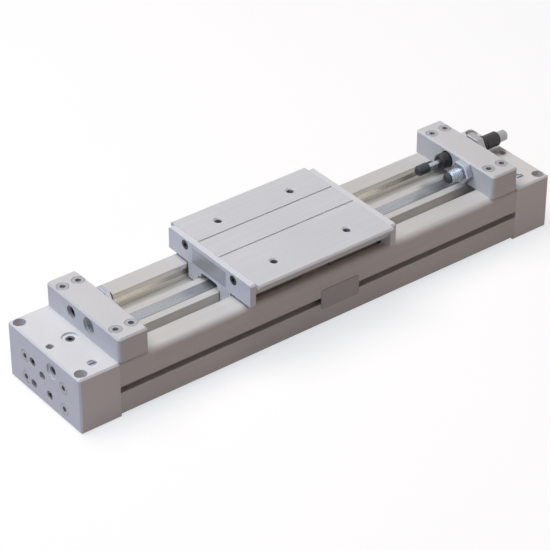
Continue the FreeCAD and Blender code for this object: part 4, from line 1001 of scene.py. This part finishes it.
@dataclass
class Tube:
    """Extruded tube with its gaskets and a bare plate over the near switch slot."""

    plate_start: float = -4.0 * MM
    plate_stop: float = 17.0 * MM
    plate_low: float = 9.4 * MM
    plate_high: float = 19.4 * MM
    plate_thick: float = 0.25 * MM
    plate_corner: float = 1.0 * MM
    corner_steps: int = 5
    wall: float = -27.0 * MM

    def plate(self) -> bpy.types.Object:
        """Bare plate with round corners.

        Returns:
            The plate, riding on the base.
        """
        shape = Shape()
        outline = shape.loop(
            [
                (self.plate_start, self.wall, self.plate_low),
                (self.plate_stop, self.wall, self.plate_low),
                (self.plate_stop, self.wall, self.plate_high),
                (self.plate_start, self.wall, self.plate_high),
            ]
        )
        shape.cap(outline)
        bmesh.ops.bevel(
            shape.bm, geom=list(shape.bm.verts), offset=self.plate_corner, affect="VERTICES",
            segments=self.corner_steps, profile=0.5, material=-1,
        )
        front = shape.push(list(shape.bm.edges), (0.0, -self.plate_thick, 0.0))
        shape.cap(front)
        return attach(shape.piece("side_plate"), Carrier.BASE.value)

    def build(self, painter: Painter) -> None:
        """Dress the tube and add its bare plate.

        Args:
            painter: Gives the finishes.
        """
        painter.nodes(EXTRUDED, "cylinder_tube")
        painter.nodes(RUBBER, *pair("tube_gasket"))
        painter.piece(self.plate(), BARE_PLATE, "anodised_plate")


@dataclass
class Covers:
    """End covers with their plugs, needles, bosses, bolts and threaded ports."""

    end: float = 130.0 * MM
    spot_face: float = 0.9 * MM
    main_port: Span = (-6.0 * MM, 20.5 * MM)
    middle_port: Span = (1.6 * MM, 13.7 * MM)
    low_port: Span = (8.5 * MM, 5.5 * MM)
    port_core: float = 2.1 * MM
    port_pitch: float = 0.8 * MM
    port_depth: float = 5.0 * MM

    def threads(self, name: str, way: float) -> HoleThread:
        """Threads of one cover's open ports.

        Args:
            name: Name of the threads.
            way: Direction into the cover along the stroke, 1 or -1.

        Returns:
            The threads.
        """
        mouth = -way * (self.end - self.spot_face)
        mouths = tuple((mouth, *port) for port in (self.main_port, self.middle_port, self.low_port))
        return HoleThread(
            name, Carrier.BASE, "anodised_cover", mouths, inward=(way, 0.0, 0.0),
            core=self.port_core, pitch=self.port_pitch, depth=self.port_depth,
        )

    def build(self, painter: Painter) -> None:
        """Dress the covers and thread their open ports.

        Args:
            painter: Gives the finishes.
        """
        for name, way in zip(pair("port_threads"), (1.0, -1.0)):
            self.threads(name, way).build(painter)
        painter.nodes(COVER, *pair("head_cover"))
        painter.nodes(DARK_STEEL, *pair("port_plugs"))
        painter.nodes(DULL_STEEL, *pair("cover_bolts"))
        painter.nodes(ZINC, *pair("cushion_needle"))
        painter.nodes(TURNED, *pair("cushion_boss"))


@dataclass(frozen=True)
class ShockAbsorber:
    """Shock absorber: body with collar, thread and chamber, plain tail, and spring."""

    across: float = ABSORBER_ACROSS
    mouth: float = 90.0 * MM
    collar_end: float = 95.0 * MM
    collar_radius: float = 3.7 * MM
    ease: float = 0.8 * MM
    thread_end: float = 117.5 * MM
    thread_free: float = 0.1 * MM
    root_radius: float = 3.42 * MM
    crest_radius: float = 4.0 * MM
    mouth_radius: float = 1.5 * MM
    chamber: Span = (93.0 * MM, 110.0 * MM)
    chamber_radius: float = 2.8 * MM
    tail_end: float = 131.0 * MM
    tail_radius: float = 2.6 * MM
    recess_radius: float = 0.9 * MM
    recess_depth: float = 1.4 * MM
    spring: CoilSpring = CoilSpring()

    def body(self) -> ThreadedRod:
        """Body that the rod goes into.

        Returns:
            The body.
        """
        front, back = self.chamber
        profile = [
            (self.thread_end, 0.0),
            (self.thread_end, self.root_radius),
            (self.collar_end, self.root_radius),
            (self.collar_end, self.collar_radius),
            (self.mouth + self.ease, self.collar_radius),
            (self.mouth, self.collar_radius - self.ease),
            (self.mouth, self.mouth_radius),
            (front, self.mouth_radius),
            (front, self.chamber_radius),
            (back, self.chamber_radius),
            (back, 0.0),
        ]
        thread = (self.collar_end + self.thread_free, self.thread_end - self.thread_free)
        return ThreadedRod(
            "absorber_threaded_body", "absorber_body", "black_steel", BLACK_OXIDE, self.across, profile,
            thread=thread, crest=self.crest_radius,
        )

    def tail(self) -> ThreadedRod:
        """Plain tail with a recess in its end.

        Returns:
            The tail.
        """
        recess = self.tail_end - self.recess_depth
        profile = [
            (self.thread_end, 0.0),
            (self.thread_end, self.tail_radius),
            (self.tail_end - self.ease, self.tail_radius),
            (self.tail_end, self.tail_radius - self.ease),
            (self.tail_end, self.recess_radius),
            (recess, self.recess_radius),
            (recess, 0.0),
        ]
        return ThreadedRod("absorber_tail", "absorber_body", "bright_steel", DULL_STEEL, self.across, profile)


@dataclass(frozen=True)
class StopBolt:
    """Stop bolt, threaded all along, with a hexagon socket in its outer end."""

    node: str
    slot: str
    finish: MetalFinish
    across: float
    tip: float
    end: float
    thread: Span
    tip_ease: float = 0.0
    end_ease: float = 0.4 * MM
    root_radius: float = 2.42 * MM
    eased_radius: float = 2.2 * MM
    crest_radius: float = 3.0 * MM
    socket: float = 3.0 * MM

    def rod(self) -> ThreadedRod:
        """Turned rod of the bolt.

        Returns:
            The rod.
        """
        way = math.copysign(1.0, self.end - self.tip)
        profile = [(self.tip, 0.0)]
        if self.tip_ease:
            profile.append((self.tip, self.eased_radius))
        profile += [
            (self.tip + way * self.tip_ease, self.root_radius),
            (self.end - way * self.end_ease, self.root_radius),
            (self.end, self.eased_radius),
        ]
        return ThreadedRod(
            f"{self.node}_threaded", self.node, self.slot, self.finish, self.across, profile,
            thread=self.thread, crest=self.crest_radius, socket=self.socket, socket_way=way,
        )


@dataclass
class StopUnits:
    """Stop brackets with the shock absorber, the stop bolts and the open bore."""

    absorber: ShockAbsorber = ShockAbsorber()
    right_bolt: StopBolt = StopBolt(
        "stop_bolt_right", "bright_steel", ZINC, across=-BOLT_ACROSS, tip=85.0 * MM, end=111.5 * MM,
        thread=(85.2 * MM, 111.4 * MM), tip_ease=0.5 * MM,
    )
    left_bolt: StopBolt = StopBolt(
        "stop_bolt_left", "black_steel", BLACK_OXIDE, across=BOLT_ACROSS, tip=-91.5 * MM, end=-108.5 * MM,
        thread=(-108.4 * MM, -91.6 * MM),
    )
    open_bore: HoleThread = HoleThread(
        "spare_bore_thread", Carrier.BASE, "anodised_bracket",
        mouths=((-109.6 * MM, -ABSORBER_ACROSS, STOP_HEIGHT),), inward=STROKE_WAY,
        core=4.05 * MM, pitch=1.0 * MM, depth=14.2 * MM, finish=BLASTED,
    )

    def build(self, painter: Painter) -> None:
        """Dress the stop units and thread their rods.

        Args:
            painter: Gives the finishes.
        """
        painter.nodes(BLASTED, *pair("stop_bracket"))
        painter.nodes(ZINC, *pair("stop_nut"), "absorber_rod")
        painter.nodes(DULL_STEEL, "bracket_screws", "absorber_nut")
        painter.nodes(PLASTIC, "absorber_cap")
        painter.nodes(URETHANE, "absorber_tip", "stop_tip_right", "stop_bumper_left")
        for rod in (self.absorber.body(), self.absorber.tail(), self.right_bolt.rod(), self.left_bolt.rod()):
            rod.build(painter)
        self.absorber.spring.build(painter)
        self.open_bore.build(painter)


@dataclass
class Table:
    """Slide table with its tapped holes, end plates, scrapers, strike plates and bearings."""

    middle: float = TABLE_MIDDLE
    half_pitch: float = 20.0 * MM
    thread_top: float = 39.3 * MM
    tap_core: float = 1.65 * MM
    tap_pitch: float = 0.7 * MM
    tap_depth: float = 4.7 * MM

    def threads(self) -> HoleThread:
        """Threads of the four holes that a load is screwed to.

        Returns:
            The threads.
        """
        sides = (-self.half_pitch, self.half_pitch)
        mouths = tuple((self.middle + x, y, self.thread_top) for x in sides for y in sides)
        return HoleThread(
            "table_threads", Carrier.CARRIAGE, "anodised_table", mouths, inward=(0.0, 0.0, -1.0),
            core=self.tap_core, pitch=self.tap_pitch, depth=self.tap_depth,
        )

    def build(self, painter: Painter) -> None:
        """Dress the table and thread its holes.

        Args:
            painter: Gives the finishes.
        """
        self.threads().build(painter)
        painter.nodes(MILLED, "slide_table")
        painter.nodes(END_PLATE, *pair("end_plate"))
        painter.nodes(GROUND, *pair("strike_plate"))
        painter.nodes(RUBBER, *pair("scraper"))
        painter.nodes(BLACK_OXIDE, "end_plate_screws")
        # Slide bearings in painted shade under the table's lip.
        painter.nodes(BEARING_PAINTED_SHADE, *pair("slide_bearing_far"), *pair("slide_bearing_near"))


@dataclass
class Drive:
    """Yoke, pistons, clamps and the two sealing strips."""

    band: Strip = Strip(
        "dust_band", "band_steel", BAND,
        width=6.4 * MM, thick=0.3 * MM, level=24.95 * MM, raised=29.8 * MM, eased=0.1 * MM,
    )
    belt: Strip = Strip(
        "seal_belt", "belt_urethane", BELT,
        width=6.0 * MM, thick=1.1 * MM, level=20.65 * MM, raised=13.7 * MM, eased=0.3 * MM,
    )

    def build(self, painter: Painter) -> None:
        """Dress the drive and lay its strips.

        Args:
            painter: Gives the finishes.
        """
        painter.nodes(TURNED, "piston_yoke", *pair("piston"), *pair("belt_clamp"))
        painter.nodes(ZINC, "yoke_pins", "belt_clamp_screws")
        painter.nodes(RUBBER, *pair("piston_seal"), *pair("cushion_seal"))
        painter.nodes(RESIN, *pair("wear_ring"), *pair("belt_separator"))
        painter.nodes(SINTERED, *pair("magnet"))
        self.band.build(painter)
        self.belt.build(painter)


def stand(item: bpy.types.Object, place: Vector, back: Vector) -> None:
    """Put a camera or lamp at a place, with its back in the direction away from what it faces."""
    item.matrix_world = Matrix.Translation(place) @ back.to_track_quat("Z", "Y").to_matrix().to_4x4()
    bpy.context.scene.collection.objects.link(item)


@dataclass(frozen=True)
class Lamp:
    """Square soft light."""

    name: str
    place: Point
    size: float
    power: float
    colour: Colour

    def build(self, target: Vector) -> None:
        """Add the light.

        Args:
            target: Point that it faces.
        """
        data = bpy.data.lights.new(self.name, "AREA")
        data.shape = "SQUARE"
        data.size = self.size
        data.energy = self.power
        data.color = self.colour
        place = Vector(self.place)
        stand(bpy.data.objects.new(self.name, data), place, place - target)


OVERHEAD = Lamp("overhead", place=(-0.25, 0.25, 1.10), size=0.9, power=11.6, colour=(0.995, 0.995, 1.0))
LEFT_FILL = Lamp("left_fill", place=(-1.15, -0.05, 0.42), size=0.7, power=3.7, colour=(0.31, 0.55, 1.0))
FRONT_FILL = Lamp("front_fill", place=(0.35, -1.2, 0.45), size=0.7, power=0.8, colour=(1.0, 0.55, 0.38))


@dataclass
class Studio:
    """Camera, soft light, pale floor and white surroundings."""

    target: Vector = field(default_factory=lambda: Vector((-10.469, -2.480, 17.234)) * MM)
    azimuth: float = math.radians(-37.698)
    elevation: float = math.radians(34.184)
    distance: float = 1.07237
    lens: float = 159.57
    sensor: float = 36.0
    nearest: float = 0.05
    dim: Colour = (0.100, 0.079, 0.071)
    floor_size: float = 6.0
    floor_drop: float = 0.2 * MM
    floor_light: Colour = (0.42, 0.36, 0.33)
    floor_dark: Colour = (0.38, 0.32, 0.29)
    cloud_size: float = 3.0
    glow: Colour = (0.92, 0.97, 1.0)
    glow_share: Span = (0.73, 1.0)
    glow_reach: Span = (0.35, 1.1)

    def camera(self) -> None:
        """Put the camera where the photograph was taken from."""
        level = math.cos(self.elevation)
        side, depth = math.sin(self.azimuth) * level, -math.cos(self.azimuth) * level
        back = Vector((side, depth, math.sin(self.elevation)))
        data = bpy.data.cameras.new("camera")
        data.lens = self.lens
        data.sensor_width = self.sensor
        data.clip_start = self.nearest
        item = bpy.data.objects.new("camera", data)
        stand(item, self.target + back * self.distance, back)
        bpy.context.scene.camera = item

    def lights(self) -> None:
        """Strong soft light from above, a cool fill from the left and a weak warm one in front."""
        for lamp in (OVERHEAD, LEFT_FILL, FRONT_FILL):
            lamp.build(self.target)

    @staticmethod
    def seen_rays(bench: Bench) -> Socket:
        """Mask of rays that show the background: from the camera, in gloss and through clear pieces.

        Args:
            bench: Bench of the floor's or world's tree.

        Returns:
            The mask socket.
        """
        path = bench.put("LightPath")
        seen = bench.math("MAXIMUM", path.outputs["Is Camera Ray"], path.outputs["Is Glossy Ray"])
        return bench.math("MAXIMUM", seen, path.outputs["Is Transmission Ray"])

    def surroundings(self) -> None:
        """White to the camera, dim to the light that falls on the object."""
        world = bpy.data.worlds.new("surroundings")
        bench = Bench.cleared(world)
        colour = bench.mix(self.seen_rays(bench), self.dim, WHITE)
        shader = bench.put("Background", Color=colour, Strength=1.0)
        bench.show(shader.outputs["Background"], "OutputWorld")
        bpy.context.scene.world = world

    def floor_paint(self) -> Material:
        """Pale paint that shows white where no shadow falls.

        Returns:
            The material.
        """
        paint = bpy.data.materials.new("floor_paint")
        bench = Bench.cleared(paint)
        seen = self.seen_rays(bench)
        place = bench.put("TexCoord").outputs["Object"]
        cloud = bench.put("TexNoise", Vector=place, Scale=self.cloud_size, Detail=2.0)
        pale = bench.mix(cloud.outputs[0], self.floor_dark, self.floor_light)
        diffuse = bench.put("BsdfDiffuse", Color=pale)
        far = bench.span(bench.math("LENGTH", place, kind="VectorMath"), self.glow_reach)
        tint = bench.mix(far, self.glow, WHITE)
        strength = bench.math("MULTIPLY", seen, bench.span(far, UNIT, self.glow_share))
        glow = bench.put("Emission", Color=tint, Strength=strength)
        both = bench.put("AddShader")
        bench.feed(both.inputs[0], diffuse.outputs["BSDF"])
        bench.feed(both.inputs[1], glow.outputs["Emission"])
        bench.show(both.outputs["Shader"])
        return paint

    def floor(self) -> None:
        """Floor that the covers stand on."""
        shape = Shape()
        bmesh.ops.create_grid(shape.bm, x_segments=1, y_segments=1, size=self.floor_size)
        bmesh.ops.translate(shape.bm, verts=shape.bm.verts, vec=(0.0, 0.0, -self.floor_drop))
        item = shape.piece("floor")
        item.data.materials.append(self.floor_paint())

    def build(self) -> None:
        """Set up camera, light and surroundings."""
        self.camera()
        self.lights()
        self.surroundings()
        self.floor()
        bpy.context.scene.view_settings.view_transform = "Standard"


def main() -> None:
    """Build the object's looks and the studio in order."""
    logging.basicConfig(level=logging.INFO, format="%(name)s: %(message)s")
    painter = Painter()
    for assembly in (Tube(), Covers(), StopUnits(), Table(), Drive()):
        assembly.build(painter)
    Studio().build()


if __name__ == "__main__":
    main()
